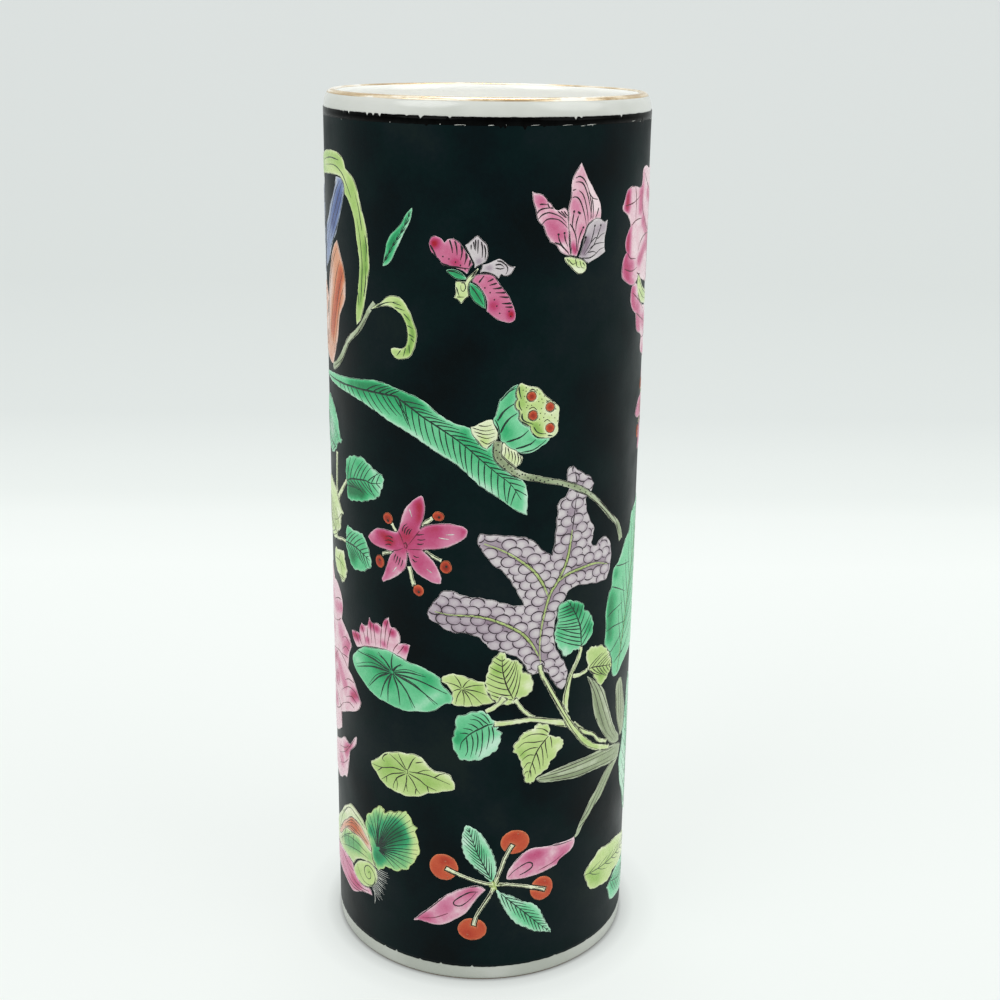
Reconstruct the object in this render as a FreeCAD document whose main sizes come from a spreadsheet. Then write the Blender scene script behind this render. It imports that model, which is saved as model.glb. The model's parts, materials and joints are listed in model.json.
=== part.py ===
import FreeCAD, Part

import os
import Sketcher
from math import atan2, cos, hypot, pi, radians, sin

# A porcelain hat stand: a straight glazed tube on a turned foot, painted over the glaze with a black
# ground and raised coloured enamels, and gilt on the lip.
#
# Frame: the origin is the centre of the foot's contact ring, +Z is up, the painted front faces -Y.
# Lengths are in millimetres.

sizes = {
    # the potted body
    "wall_radius": 50.7,
    "wall_thickness": 4.3,
    "wall_top": 287.4,
    "base_thickness": 5.0,
    "foot_height": 4.0,
    "foot_width": 7.6,
    "foot_round": 1.0,
    "floor_round": 2.5,
    # the fired coats
    "glaze_thickness": 0.15,
    "bare_edge": 0.4,
    "ground_thickness": 0.15,
    "lip_band": 5.0,
    "foot_band": 5.2,
    "gilt_thickness": 0.05,
    "gilt_angle": 38,
    "enamel_thickness": 0.2,
    # widths of the painted stems
    "twig_width": 2.6,
    "stalk_width": 1.5,
    "branch_width": 1.9,
    # radii of the painted seeds, buds and berries
    "seed_radius": 1.45,
    "bud_radius": 1.9,
    "berry_radius": 4.9,
    "small_berry_radius": 4.2,
}

doc = FreeCAD.newDocument("HatStand")
sheet = doc.addObject("Spreadsheet::Sheet", "Sizes")
for row, (alias, value) in enumerate(sizes.items(), start=1):
    sheet.set(f"A{row}", alias)
    sheet.set(f"B{row}", str(value))
    sheet.setAlias(f"B{row}", alias)
doc.recompute()


def size(expression):
    """The value of an expression in the sheet's names."""
    return float(sheet.evalExpression(expression))


# Derived places, as expressions in the sheet's names
INNER_RADIUS = "(Sizes.wall_radius - Sizes.wall_thickness)"
LIP_ROUND = "(Sizes.wall_thickness / 2)"
LIP_RADIUS = f"(Sizes.wall_radius - {LIP_ROUND})"
LIP_SPRING = f"(Sizes.wall_top - {LIP_ROUND})"
FOOT_INNER = "(Sizes.wall_radius - Sizes.foot_width)"
GLAZE_END = "(Sizes.foot_round + Sizes.bare_edge)"
GLAZED_RADIUS = "(Sizes.wall_radius + Sizes.glaze_thickness)"
GLAZED_BORE = f"({INNER_RADIUS} - Sizes.glaze_thickness)"
GROUND_RADIUS = f"({GLAZED_RADIUS} + Sizes.ground_thickness)"
FLOOR = "(Sizes.foot_height + Sizes.base_thickness)"
GLAZED_FLOOR = f"({FLOOR} + Sizes.glaze_thickness)"
GILT_INSIDE = f"({LIP_ROUND} + Sizes.glaze_thickness)"
GILT_OUTSIDE = f"({GILT_INSIDE} + Sizes.gilt_thickness)"


def origin_plane(body, role):
    """The named origin plane of one body."""
    for feature in body.Origin.OriginFeatures:
        if feature.Role == role:
            return feature
    raise ValueError(role)


def new_body(name):
    body = doc.addObject("PartDesign::Body", name)
    body.Label = name
    return body


def profile_sketch(body, corners, arcs):
    """A closed profile in the XZ plane.

    corners: (radius, height) expressions in order; None means on that axis.
    arcs: {edge number: (centre radius, centre height, radius)} expressions of the round edges.
    """
    sketch = body.newObject("Sketcher::SketchObject", body.Name + "_profile")
    sketch.AttachmentSupport = [(origin_plane(body, "XZ_Plane"), "")]
    sketch.MapMode = "FlatFace"
    places = []
    for across, up in corners:
        places.append(FreeCAD.Vector(size(across) if across else 0, size(up) if up else 0, 0))
    ends = []
    for edge, start in enumerate(places):
        end = places[(edge + 1) % len(places)]
        if edge not in arcs:
            sketch.addGeometry(Part.LineSegment(start, end), False)
            ends.append((1, 2))
            continue
        across, up, radius = arcs[edge]
        centre = FreeCAD.Vector(size(across), size(up), 0)
        first = atan2(start.y - centre.y, start.x - centre.x)
        last = atan2(end.y - centre.y, end.x - centre.x)
        turns_left = (last - first) % (2 * pi) < pi
        circle = Part.Circle(centre, FreeCAD.Vector(0, 0, 1), size(radius))
        sketch.addGeometry(Part.ArcOfCircle(circle, *((first, last) if turns_left else (last, first))), False)
        ends.append((1, 2) if turns_left else (2, 1))
    for edge in range(len(places)):
        following = (edge + 1) % len(places)
        joint = Sketcher.Constraint("Coincident", edge, ends[edge][1], following, ends[following][0])
        sketch.addConstraint(joint)
    for edge, (across, up) in enumerate(corners):
        for kind, expression, axis in (("DistanceX", across, -2), ("DistanceY", up, -1)):
            if expression is None:
                sketch.addConstraint(Sketcher.Constraint("PointOnObject", edge, ends[edge][0], axis))
                continue
            value = size(expression)
            number = sketch.addConstraint(Sketcher.Constraint(kind, -1, 1, edge, ends[edge][0], value))
            sketch.renameConstraint(number, f"{kind}_{edge}")
            sketch.setExpression(f"Constraints.{kind}_{edge}", expression)
    for edge, (across, up, radius) in arcs.items():
        number = sketch.addConstraint(Sketcher.Constraint("Radius", edge, size(radius)))
        sketch.renameConstraint(number, f"Round_{edge}")
        sketch.setExpression(f"Constraints.Round_{edge}", radius)
    return sketch


def revolved(name, corners, arcs=None):
    """A turned piece: its profile swept once round the Z axis."""
    body = new_body(name)
    sketch = profile_sketch(body, corners, arcs or {})
    turned = body.newObject("PartDesign::Revolution", name + "_turned")
    turned.Profile = sketch
    turned.ReferenceAxis = (sketch, ["V_Axis"])
    turned.Angle = 360
    sketch.Visibility = False
    return body


# The potted body

def wall_body():
    crown = (LIP_RADIUS, LIP_SPRING, LIP_ROUND)
    return revolved("wall_body", [
        (INNER_RADIUS, "Sizes.foot_height"),
        ("Sizes.wall_radius", "Sizes.foot_height"),
        ("Sizes.wall_radius", LIP_SPRING),
        (LIP_RADIUS, "Sizes.wall_top"),
        (INNER_RADIUS, LIP_SPRING),
    ], {2: crown, 3: crown})


def base_disc():
    body = new_body("base_disc")
    sketch = body.newObject("Sketcher::SketchObject", "base_disc_outline")
    sketch.AttachmentSupport = [(origin_plane(body, "XY_Plane"), "")]
    sketch.MapMode = "FlatFace"
    sketch.AttachmentOffset = FreeCAD.Placement(
        FreeCAD.Vector(0, 0, size("Sizes.foot_height")), FreeCAD.Rotation())
    sketch.setExpression("AttachmentOffset.Base.z", "Sizes.foot_height")
    radius = size(INNER_RADIUS)
    sketch.addGeometry(Part.Circle(FreeCAD.Vector(0, 0, 0), FreeCAD.Vector(0, 0, 1), radius), False)
    sketch.addConstraint(Sketcher.Constraint("Coincident", 0, 3, -1, 1))
    number = sketch.addConstraint(Sketcher.Constraint("Radius", 0, radius))
    sketch.renameConstraint(number, "Bore")
    sketch.setExpression("Constraints.Bore", INNER_RADIUS)
    pad = body.newObject("PartDesign::Pad", "base_disc_pad")
    pad.Profile = sketch
    pad.setExpression("Length", "Sizes.base_thickness")
    sketch.Visibility = False
    return body


def foot_ring():
    inside = (f"{FOOT_INNER} + Sizes.foot_round", "Sizes.foot_round", "Sizes.foot_round")
    outside = ("Sizes.wall_radius - Sizes.foot_round", "Sizes.foot_round", "Sizes.foot_round")
    return revolved("foot_ring", [
        (FOOT_INNER, "Sizes.foot_round"),
        (inside[0], None),
        (outside[0], None),
        ("Sizes.wall_radius", "Sizes.foot_round"),
        ("Sizes.wall_radius", "Sizes.foot_height"),
        (FOOT_INNER, "Sizes.foot_height"),
    ], {0: inside, 2: outside})


# The fired coats

def outer_glaze():
    return revolved("outer_glaze", [
        ("Sizes.wall_radius", GLAZE_END),
        (GLAZED_RADIUS, GLAZE_END),
        (GLAZED_RADIUS, LIP_SPRING),
        (LIP_RADIUS, "Sizes.wall_top + Sizes.glaze_thickness"),
        (LIP_RADIUS, "Sizes.wall_top"),
        ("Sizes.wall_radius", LIP_SPRING),
    ], {2: (LIP_RADIUS, LIP_SPRING, GILT_INSIDE), 4: (LIP_RADIUS, LIP_SPRING, LIP_ROUND)})


def inner_glaze():
    corner_radius = f"{GLAZED_BORE} - Sizes.floor_round"
    corner_height = f"{GLAZED_FLOOR} + Sizes.floor_round"
    return revolved("inner_glaze", [
        (LIP_RADIUS, "Sizes.wall_top"),
        (LIP_RADIUS, "Sizes.wall_top + Sizes.glaze_thickness"),
        (GLAZED_BORE, LIP_SPRING),
        (GLAZED_BORE, corner_height),
        (corner_radius, GLAZED_FLOOR),
        (None, GLAZED_FLOOR),
        (None, FLOOR),
        (INNER_RADIUS, FLOOR),
        (INNER_RADIUS, LIP_SPRING),
    ], {
        1: (LIP_RADIUS, LIP_SPRING, GILT_INSIDE),
        3: (corner_radius, corner_height, "Sizes.floor_round"),
        8: (LIP_RADIUS, LIP_SPRING, LIP_ROUND),
    })


def underside_glaze():
    skin_radius = f"{FOOT_INNER} - Sizes.glaze_thickness"
    return revolved("underside_glaze", [
        (None, "Sizes.foot_height"),
        (None, "Sizes.foot_height - Sizes.glaze_thickness"),
        (skin_radius, "Sizes.foot_height - Sizes.glaze_thickness"),
        (skin_radius, GLAZE_END),
        (FOOT_INNER, GLAZE_END),
        (FOOT_INNER, "Sizes.foot_height"),
    ])


def black_ground():
    top = "Sizes.wall_top - Sizes.lip_band"
    return revolved("black_ground", [
        (GLAZED_RADIUS, "Sizes.foot_band"),
        (GROUND_RADIUS, "Sizes.foot_band"),
        (GROUND_RADIUS, top),
        (GLAZED_RADIUS, top),
    ])


def gilt_rim():
    side = "cos(Sizes.gilt_angle * 1 deg)"
    rise = "sin(Sizes.gilt_angle * 1 deg)"
    return revolved("gilt_rim", [
        (f"{LIP_RADIUS} + {GILT_INSIDE} * {side}", f"{LIP_SPRING} + {GILT_INSIDE} * {rise}"),
        (f"{LIP_RADIUS} + {GILT_OUTSIDE} * {side}", f"{LIP_SPRING} + {GILT_OUTSIDE} * {rise}"),
        (f"{LIP_RADIUS} - {GILT_OUTSIDE} * {side}", f"{LIP_SPRING} + {GILT_OUTSIDE} * {rise}"),
        (f"{LIP_RADIUS} - {GILT_INSIDE} * {side}", f"{LIP_SPRING} + {GILT_INSIDE} * {rise}"),
    ], {1: (LIP_RADIUS, LIP_SPRING, GILT_OUTSIDE), 3: (LIP_RADIUS, LIP_SPRING, GILT_INSIDE)})


# The raised enamels
#
# A place on the wall is (degrees round from the front, percent of the wall's height). An outline is a
# list of stretches: each is one smooth curve from where the last stretch ended, and it ends in a corner.
# A spot is (turn, lift, way): the degrees and the percent that a copy moves, and -1 for a mirrored copy.

WALL_RADIUS = size(GROUND_RADIUS)
WALL_HEIGHT = size("Sizes.wall_top")
ENAMEL = size("Sizes.enamel_thickness")
FRONT = (0, 0, 1)


def in_lengths(place):
    """Degrees and percent as lengths along the wall."""
    turn, rise = place
    return radians(turn) * WALL_RADIUS, rise * WALL_HEIGHT / 100


def in_shares(along, up):
    """Lengths along the wall as degrees and percent."""
    return along / WALL_RADIUS * 180 / pi, up / WALL_HEIGHT * 100


# How far from base to tip the points of a leaf's side lie
leaf_step_shares = [0.12, 0.3, 0.5, 0.7, 0.88]
# The points of a round spot, and the fineness of a thickened patch as a share of its thickness
DISC_POINTS = 12
FINENESS_SHARE = 0.001
CLOSING_SHARE = 0.005


def leaf(base, tip, width_share, bow_share=0.0, belly_share=0.5):
    """A pointed leaf or petal; the shares are of its length, and the belly's of the way to its tip."""
    x0, y0 = in_lengths(base)
    x1, y1 = in_lengths(tip)
    along_x, along_y = x1 - x0, y1 - y0
    sides = []
    for side in (1, -1):
        points = []
        for step in leaf_step_shares:
            if step < belly_share:
                round_share = step / belly_share / 2
            else:
                round_share = (1 - step) / (1 - belly_share) / 2
            half = width_share / 2 * sin(pi * round_share)
            out = side * half + bow_share * 4 * step * (1 - step)
            points.append(in_shares(x0 + along_x * step - along_y * out, y0 + along_y * step + along_x * out))
        sides.append(points)
    return [sides[0] + [tip], sides[1][::-1] + [base]]


def disc(centre, radius, flat_share=1.0):
    """A round spot; flat_share is its height over its width."""
    x0, y0 = in_lengths(centre)
    points = []
    for number in range(1, DISC_POINTS + 1):
        angle = 2 * pi * number / DISC_POINTS
        points.append(in_shares(x0 + radius * cos(angle), y0 + radius * flat_share * sin(angle)))
    return [points]


def ribbon(places, *widths):
    """A painted stem along some places; its widths are spread evenly from its start to its end."""
    middle = [in_lengths(place) for place in places]
    last = len(middle) - 1
    spans = len(widths) - 1
    left, right = [], []
    for number, (x, y) in enumerate(middle):
        before = middle[max(number - 1, 0)]
        after = middle[min(number + 1, last)]
        run = hypot(after[0] - before[0], after[1] - before[1])
        reached = number * spans / last
        span = min(int(reached), spans - 1)
        half = (widths[span] + (widths[span + 1] - widths[span]) * (reached - span)) / 2
        off_x = -(after[1] - before[1]) / run * half
        off_y = (after[0] - before[0]) / run * half
        left.append(in_shares(x + off_x, y + off_y))
        right.append(in_shares(x - off_x, y - off_y))
    return [left[1:], [right[-1]], right[::-1][1:], [left[0]]]


arching_leaf_shares = [
    [(-50.2, 78), (-49.2, 80), (-48.1, 81.8), (-48.1, 83.6), (-49.2, 85.2), (-50.2, 86.9), (-51.8, 88.3),
     (-53.7, 89.2), (-56.2, 89.8)],
    [(-58, 91.3), (-65, 91.6), (-75.5, 91.4), (-88, 90.6), (-97, 87), (-104, 81)],
    [(-101, 87), (-93, 92.2), (-82, 93.4), (-72.4, 94), (-66, 94.1), (-61.8, 94), (-58.4, 93.7),
     (-55.5, 92.5)],
    [(-53, 92.1), (-50.5, 91.6), (-48.6, 90.7), (-46.2, 88.6), (-43.9, 86.6), (-43, 84.4), (-42.7, 82.8),
     (-43.4, 81.6), (-44.4, 80.2), (-45.6, 78.6), (-47.4, 77)],
    [(-50, 76.4)],
]
curl_leaf_shares = [
    [(-40, 78.95), (-37.4, 79.4), (-35.6, 79.9), (-33.3, 80.2), (-30.9, 80.2), (-28.7, 79.9), (-27, 79.3), (-25.6, 78.6),
     (-24.3, 77.6), (-23.2, 76.5), (-23.4, 75.8), (-24.6, 74.6), (-25.9, 74), (-28, 73.7), (-31, 73.6),
     (-33, 74), (-33.5, 74.6)],
    [(-32, 74.8), (-29.4, 74.8), (-27.8, 75.1), (-27, 75.8), (-27, 76.6), (-27.6, 77.4), (-29.4, 78.3),
     (-31.6, 78.8), (-34.5, 79), (-37.4, 78.85), (-40, 78.6), (-42.5, 78.4)],
]
sprig_leaf_shares = [
    [(-36, 84.3), (-34.6, 85.7), (-32.6, 86.6), (-30, 87.3), (-27.6, 88.4), (-24.8, 89.3)],
    [(-25.2, 88.3), (-27.2, 87), (-29.4, 85.8), (-31.6, 84.5), (-34.2, 83.4), (-36.7, 83.1)],
]
iris_blue_shares = [
    [(-57.4, 89.2), (-59.3, 87.9), (-61.8, 86.5), (-63.7, 85.5), (-66.8, 84.6), (-69.5, 83.5), (-78, 81.4)],
    [(-77, 85), (-74.9, 86.4), (-72.4, 87), (-69.9, 88.3), (-67.4, 89.2), (-64.4, 90.4), (-63, 91.5)],
    [(-56.4, 91.4)],
]
iris_back_petal_shares = [
    [(-84, 84.6), (-82, 87.4), (-84, 90.2)],
    [(-90, 88.2), (-92, 85.0), (-88, 82.0), (-80, 80.4)],
]
iris_orange_shares = [
    [(-60.5, 83.6), (-58, 82.2), (-56.8, 80.8), (-57, 79.2)],
    [(-59.3, 77.8), (-61.4, 77), (-62.6, 76), (-63.8, 74.4), (-66.2, 72.8), (-70, 71)],
    [(-75.5, 71.4), (-77, 75), (-75, 78.4), (-71, 81.8), (-66.8, 84), (-63, 84.9)],
]
iris_side_petal_shares = [
    [(-79, 79.0), (-85, 79.6), (-92, 78.2), (-99, 75.0)],
    [(-92, 72.6), (-84, 72.0), (-76, 71.2)],
]
long_leaf_shares = [
    [(-72, 70), (-60, 70.3), (-48, 70.7), (-38, 70.9), (-30, 70.4), (-22, 69.7), (-15, 68.2), (-10, 67.4),
     (-4, 66.9), (4, 65), (11, 62.2), (14.4, 60.6), (15.2, 58.8), (15.1, 57.3)],
    [(12, 57.7), (6, 59.1), (-1.5, 60.7), (-9, 62.8), (-15.3, 63.9), (-24.6, 65.5), (-34, 66.7),
     (-45.6, 68), (-56.8, 68.6), (-72, 68.9), (-84, 69.4)],
]
pod_face_shares = [
    [(25.1, 65.9), (25.8, 66.2), (25.9, 66.9), (26, 67.4), (26.1, 68.2), (26.1, 68.8), (25.8, 69)],
    [(24.5, 69.4), (23.1, 69.7), (21.2, 70.24), (19.8, 70.65), (19.2, 70.9), (18.2, 71.16)],
    [(16.5, 71.3), (14.2, 71.46), (13.2, 71.6), (12.4, 71.7), (11.7, 71.67)],
    [(10.9, 71.3), (10.4, 70.6), (10.9, 70.03)],
    [(10.2, 69.7), (10.2, 69.2), (11.4, 68.8)],
    [(11.7, 68.4), (11.6, 67.98), (12.4, 67.6), (13.9, 67.2), (15.4, 67.06)],
    [(15.9, 66.5), (16.9, 66.04), (18.5, 65.7), (20.5, 65.65), (22.8, 65.6)],
]
pod_cup_shares = [
    [(21.5, 65.1), (19.8, 64.8), (18.5, 64.5), (16.5, 64.2), (14.9, 64.1), (13.2, 64.1), (12.2, 64.2),
     (10.6, 64.6)],
    [(8.9, 64.76), (7.6, 65.07), (6.9, 65.4)],
    [(5.9, 65.5), (5.1, 65.9), (4.8, 66.4), (4.3, 66.96), (3.3, 67.4), (2.8, 68)],
    [(3.6, 68.4), (4, 68.9), (4.5, 69.5), (5, 70.03)],
    [(5.9, 70.3), (7.3, 70.8), (8.6, 71.2), (9.9, 71.46), (11.7, 71.67)],
    [(22.8, 65.6)],
]
pod_collar_shares = [
    [(-1.5, 67.5), (0.4, 67.8), (2.6, 67.9)],
    [(3.3, 67.3), (4.1, 66.8), (4.6, 66.3), (4.5, 65.9), (2.8, 65.3), (1, 64.7)],
    [(-0.3, 64.9), (-2.2, 65.5), (-4, 66.3), (-4.7, 67.1)],
]
pod_skirt_shares = [
    [(6.8, 65.4), (7.6, 65.1), (9.9, 64.66), (10.9, 64.5), (11.9, 64.1), (13.05, 63.9)],
    [(13.2, 63.5), (12.6, 63.1), (11.6, 62.87), (10.9, 62.66)],
    [(9.9, 62.7), (8.3, 63.2), (6.6, 63.6), (5.95, 64), (5.9, 64.6), (5.95, 65.2)],
]
scaled_leaf_shares = [
    [(31.4, 62.2), (35, 61.6), (40.8, 60.4), (42.1, 59.8)],
    [(40.9, 59)],
    [(38.6, 58.3), (39, 57), (41, 55.6), (42.6, 54.8), (42.4, 53.6), (41.6, 53)],
    [(44.6, 52.6), (46, 53), (48.4, 53.2), (51.6, 52.6), (53, 51.6), (53.4, 50.4), (52.8, 49.2), (51.1, 48)],
    [(44, 48), (37.4, 48.3), (33, 48.2), (30.8, 47.5), (29.2, 46.6)],
    [(26.8, 45), (26.3, 42.8), (27.4, 41.4), (29.6, 40.2), (32.2, 38.6), (32.2, 37.5), (30.1, 36.2)],
    [(26, 37.6), (22, 38.9), (18, 38.8), (14.3, 40.3), (8, 41.6), (4.1, 42)],
    [(2, 42.3), (0.6, 42.9), (-2.2, 43.6), (-6.4, 43.9), (-12.8, 44.1), (-16.3, 44.8), (-19.4, 45.3),
     (-19.8, 46)],
    [(-19, 46.7), (-16.4, 47.7), (-15, 48.4), (-12.8, 48.8)],
    [(-10, 48.7), (-6.4, 48.3), (-0.8, 48.1), (4.1, 47.8), (9, 47.3), (14.4, 47.1)],
    [(11.4, 48.9), (9.3, 50), (6.5, 51.1), (3, 51.95), (0.9, 52.8), (-1.5, 53.9), (-2.2, 54.9)],
    [(-1.2, 55.4)],
    [(3, 55.3), (10, 55.1), (15, 54.8), (19.2, 53.9), (22, 53), (24.4, 52.6)],
    [(25.5, 54.1), (25.8, 55.7), (26.2, 57.4), (26.9, 58.5), (29.5, 59), (30.4, 60), (29.7, 61), (30, 61.9)],
]
lily_star_shares = [
    [(-31, 55), (-30.3, 55.8), (-29.8, 56.5), (-28.5, 57.3), (-27.5, 57.8), (-26.5, 58.1), (-25, 58.6),
     (-23.4, 58.94), (-22.1, 59.18)],
    [(-21.3, 59), (-20.8, 58.55), (-20.5, 57.84), (-20.7, 57.2), (-21.3, 56.5), (-22.4, 55.5)],
    [(-19.4, 56), (-16.8, 56.2), (-14.2, 56.33), (-11.7, 56.4), (-9.1, 56.28), (-7.1, 56.13), (-5.6, 55.8)],
    [(-5.5, 55.4), (-5.9, 55), (-6.9, 54.7), (-9.1, 54.24), (-11.2, 53.85), (-13.2, 53.56), (-15.3, 53.4),
     (-17.3, 53.28), (-19.4, 53.17), (-21.4, 53)],
    [(-20.4, 52.77), (-18.3, 52.2), (-16.5, 51.5), (-15.3, 50.8), (-14.66, 50.1), (-14.7, 49.5)],
    [(-16.3, 49.4), (-17.8, 49.45), (-19.9, 49.7), (-21.9, 50), (-23.7, 50.3), (-25.2, 50.8), (-26.25, 51.35),
     (-26.9, 51.98), (-27.3, 52.4)],
    [(-27.5, 51.5), (-27.9, 50.87), (-28.8, 50.37), (-30.3, 49.9), (-32.1, 49.45), (-34.2, 49),
     (-36.2, 48.7), (-38, 48.42)],
    [(-38.7, 48.66), (-38.1, 49.2), (-37.1, 49.9), (-36.3, 50.6), (-35.4, 51.35), (-34.2, 51.98),
     (-33.4, 52.3)],
    [(-35.2, 52.27), (-37.2, 52.27), (-39.8, 52.3), (-42.3, 52.42), (-44.3, 52.74), (-45.5, 53.09)],
    [(-44.8, 53.48), (-43.6, 53.85), (-42.3, 54.2), (-40.5, 54.48), (-38.5, 54.6), (-36.2, 54.62),
     (-33.7, 54.56), (-31.9, 54.6)],
]
side_leaf_shares = [
    [(-55.5, 61.64), (-52.7, 61.87), (-50.5, 61.95), (-48.8, 62.04), (-46.5, 61.78), (-44.3, 61.47),
     (-42, 61.12), (-39.8, 60.88), (-37.8, 60.56), (-37.2, 60.1)],
    [(-38, 59.17), (-39, 58.48), (-39.8, 58.04), (-42, 57.64), (-44.3, 57.34), (-46.5, 57.1), (-49.9, 56.8),
     (-52.7, 56.65), (-55.5, 56.47), (-57.2, 56.5), (-58.3, 56.7)],
    [(-58.6, 57.3), (-58.4, 57.95), (-58.8, 58.65), (-59.2, 59.35), (-59.3, 60.04), (-59, 60.7),
     (-58.3, 61.2)],
]
side_low_leaf_shares = [
    [(-57.8, 53.34), (-55.5, 53.17), (-53.3, 53.2), (-51, 53.2), (-48.8, 53.17), (-47.4, 52.8), (-46.5, 52.4),
     (-45.4, 51.9), (-44.7, 51.17), (-44, 50.47), (-43.8, 49.86)],
    [(-44.9, 49.4), (-46.5, 49.1), (-48.8, 48.7), (-51, 48.65), (-53.3, 48.5), (-55.5, 48.65), (-56.7, 48.9)],
    [(-57.8, 49.4), (-58.9, 49.95), (-59.7, 50.5), (-60.6, 51.1), (-60.3, 51.7), (-60.1, 52.4),
     (-59.5, 53.2)],
]
side_high_leaf_shares = [
    [(-73.5, 66.9), (-70.1, 66.4), (-67.3, 65.5), (-65.4, 64.56), (-64.2, 63.5), (-62, 62.9)],
    [(-64, 62.44), (-66.8, 62.1), (-67.9, 61.6), (-70.1, 61.1), (-72.4, 60.7), (-82, 61.6), (-86, 63.6)],
    [(-84, 66.0), (-78, 67.2)],
]
side_lime_leaf_shares = [
    [(-67.3, 49.6), (-64.5, 49.8), (-62.3, 49.8), (-62, 49.1), (-60.9, 48.4), (-59.7, 47.8)],
    [(-60.6, 47), (-61.7, 46.5), (-64, 45.9), (-65.1, 45.8), (-67.3, 46.3), (-69.6, 46.6), (-71.3, 46.7)],
    [(-74, 48), (-72.4, 49.5)],
]
side_pale_leaf_shares = [
    [(-66.8, 55.7), (-64.5, 55), (-61.7, 54.3)],
    [(-64, 53.9), (-64.8, 53.1), (-65.9, 52.1), (-68.5, 51.6), (-69.6, 50.8)],
    [(-78, 50.5), (-84, 52), (-86, 55)],
    [(-80, 57.5), (-74, 57.2), (-69, 56.6)],
]
rose_head_shares = [
    [(-72, 45.2), (-69.9, 45), (-66.7, 44.3), (-65, 43.3), (-65.4, 42), (-66.3, 41.2)],
    [(-63.5, 40.7), (-60.3, 40.05), (-57.2, 38.75)],
    [(-58.7, 38.06), (-59.9, 37.07), (-60.3, 36.07), (-60.7, 35.65)],
    [(-57.9, 35.1), (-55.1, 34.3), (-53.1, 33.3), (-51.3, 32.5)],
    [(-53.9, 31.1), (-57.1, 30.6), (-60.3, 30.2), (-65.1, 29.5), (-68.7, 29)],
    [(-69, 26.9)],
    [(-73.2, 26.1), (-78, 25.4), (-87, 26.4)],
    [(-97, 29.6), (-101, 34), (-98, 39)],
    [(-96, 43.4), (-88, 46), (-76, 45.1)],
]
rose_low_petal_shares = [
    [(-56.5, 26.1), (-60.3, 25), (-61.5, 23.6), (-62.7, 22.2), (-64.3, 21)],
    [(-67.5, 20.8), (-70, 20.2), (-80, 20), (-92, 22.4)],
    [(-86, 23.2), (-75.6, 24.7), (-69.9, 25.5), (-65.1, 26.25), (-61.1, 26), (-57.9, 26.9), (-54.9, 27.7)],
]
lotus_flower_shares = [
    [(-56, 40), (-57, 40.9)],
    [(-54.6, 41.1), (-51.6, 41.1)],
    [(-51.2, 41.9), (-50, 42.5)],
    [(-48.1, 42.4), (-46.6, 42.6)],
    [(-46, 43.2), (-45.3, 43.9)],
    [(-44.6, 43.2), (-43.2, 43.1)],
    [(-41, 43.3), (-39, 43)],
    [(-38.2, 43.8), (-35.6, 44.4)],
    [(-35.2, 43.7), (-34.4, 43.3)],
    [(-32.6, 43.3), (-31, 42.8), (-31.1, 41.6)],
    [(-29, 41.8), (-26.5, 41.7)],
    [(-27.2, 41), (-28.2, 39.8)],
    [(-32.8, 40.2), (-40.3, 40.3), (-45.3, 40), (-53.2, 39.2)],
]
lotus_pad_shares = [
    [(-52.8, 38.9), (-49.6, 39.6), (-45.3, 40), (-40.3, 40.3), (-36.5, 40.4), (-32.8, 40.2), (-28.4, 39.8),
     (-20.9, 39.3), (-17.8, 38.9), (-14.6, 38.3)],
    [(-14, 37.5), (-11.3, 36.8), (-10.6, 36.1), (-11.2, 35.4)],
    [(-14.7, 35), (-17.2, 34.3), (-21.6, 34), (-26.5, 33.7), (-32.8, 33.7), (-39, 34), (-45.3, 34.5),
     (-49, 35.2), (-52.8, 35.9), (-55.9, 36.7), (-56.7, 37.5), (-55.9, 38.1)],
]
small_pad_shares = [
    [(-13.6, 38.7), (-11.4, 39), (-7.9, 39), (-3.6, 38.6), (1, 38.2)],
    [(3, 37.2), (4.6, 36.2), (4.8, 35.8)],
    [(0, 35.4), (-5.7, 35.2), (-10, 35.3)],
    [(-11.4, 35.7), (-10.7, 36.6), (-12.1, 37.4), (-14.9, 38)],
]
spray_top_leaf_shares = [
    [(4.8, 35.8), (2.6, 36.6), (1.1, 38.3), (2, 39.6), (4.1, 41.2), (6.2, 41.7), (8, 41.7)],
    [(9.6, 40.9), (12.5, 40.6), (14.3, 40), (14.6, 39.2)],
    [(17.2, 38.9), (18.5, 38.1), (18.1, 36.8), (16, 36.3), (14, 36.1), (11.3, 35.5)],
]
spray_round_leaf_shares = [
    [(-6.4, 34.3), (-4, 34.6), (-1, 34.75), (1.6, 34.65)],
    [(3.3, 33.9), (4.9, 33.4), (5.9, 32.9), (5.6, 32.5)],
    [(7.5, 32)],
    [(6.9, 31.2), (6.3, 30.5), (5.3, 29.9), (3.3, 29.4), (1.2, 29), (-0.8, 28.7), (-3.6, 28.6), (-6.8, 28.55)],
    [(-8.4, 28.9), (-9.6, 29.55), (-10.4, 30.3), (-10.6, 31.04), (-10, 31.9), (-9.5, 33), (-9.3, 34)],
]
spray_low_leaf_shares = [
    [(14.1, 31.4), (12.7, 30.9), (11.3, 30), (11.5, 29.56)],
    [(13.4, 28.9), (14.4, 28), (15.1, 27.2), (15.8, 25.9), (16.2, 25.6)],
    [(19.3, 25.5), (20.7, 26), (22.9, 26.5), (25.3, 27.06), (25.7, 27.6)],
    [(27.8, 28.04), (29.5, 28.7), (31.3, 29.3), (31.1, 30), (29.9, 30.4), (27.1, 30.76), (25.3, 31.08)],
    [(25.3, 31.95), (24.6, 32.5), (22.2, 32.8), (20.4, 32.7), (19, 32.2)],
    [(17.2, 32.06), (15.1, 31.95)],
]
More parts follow.
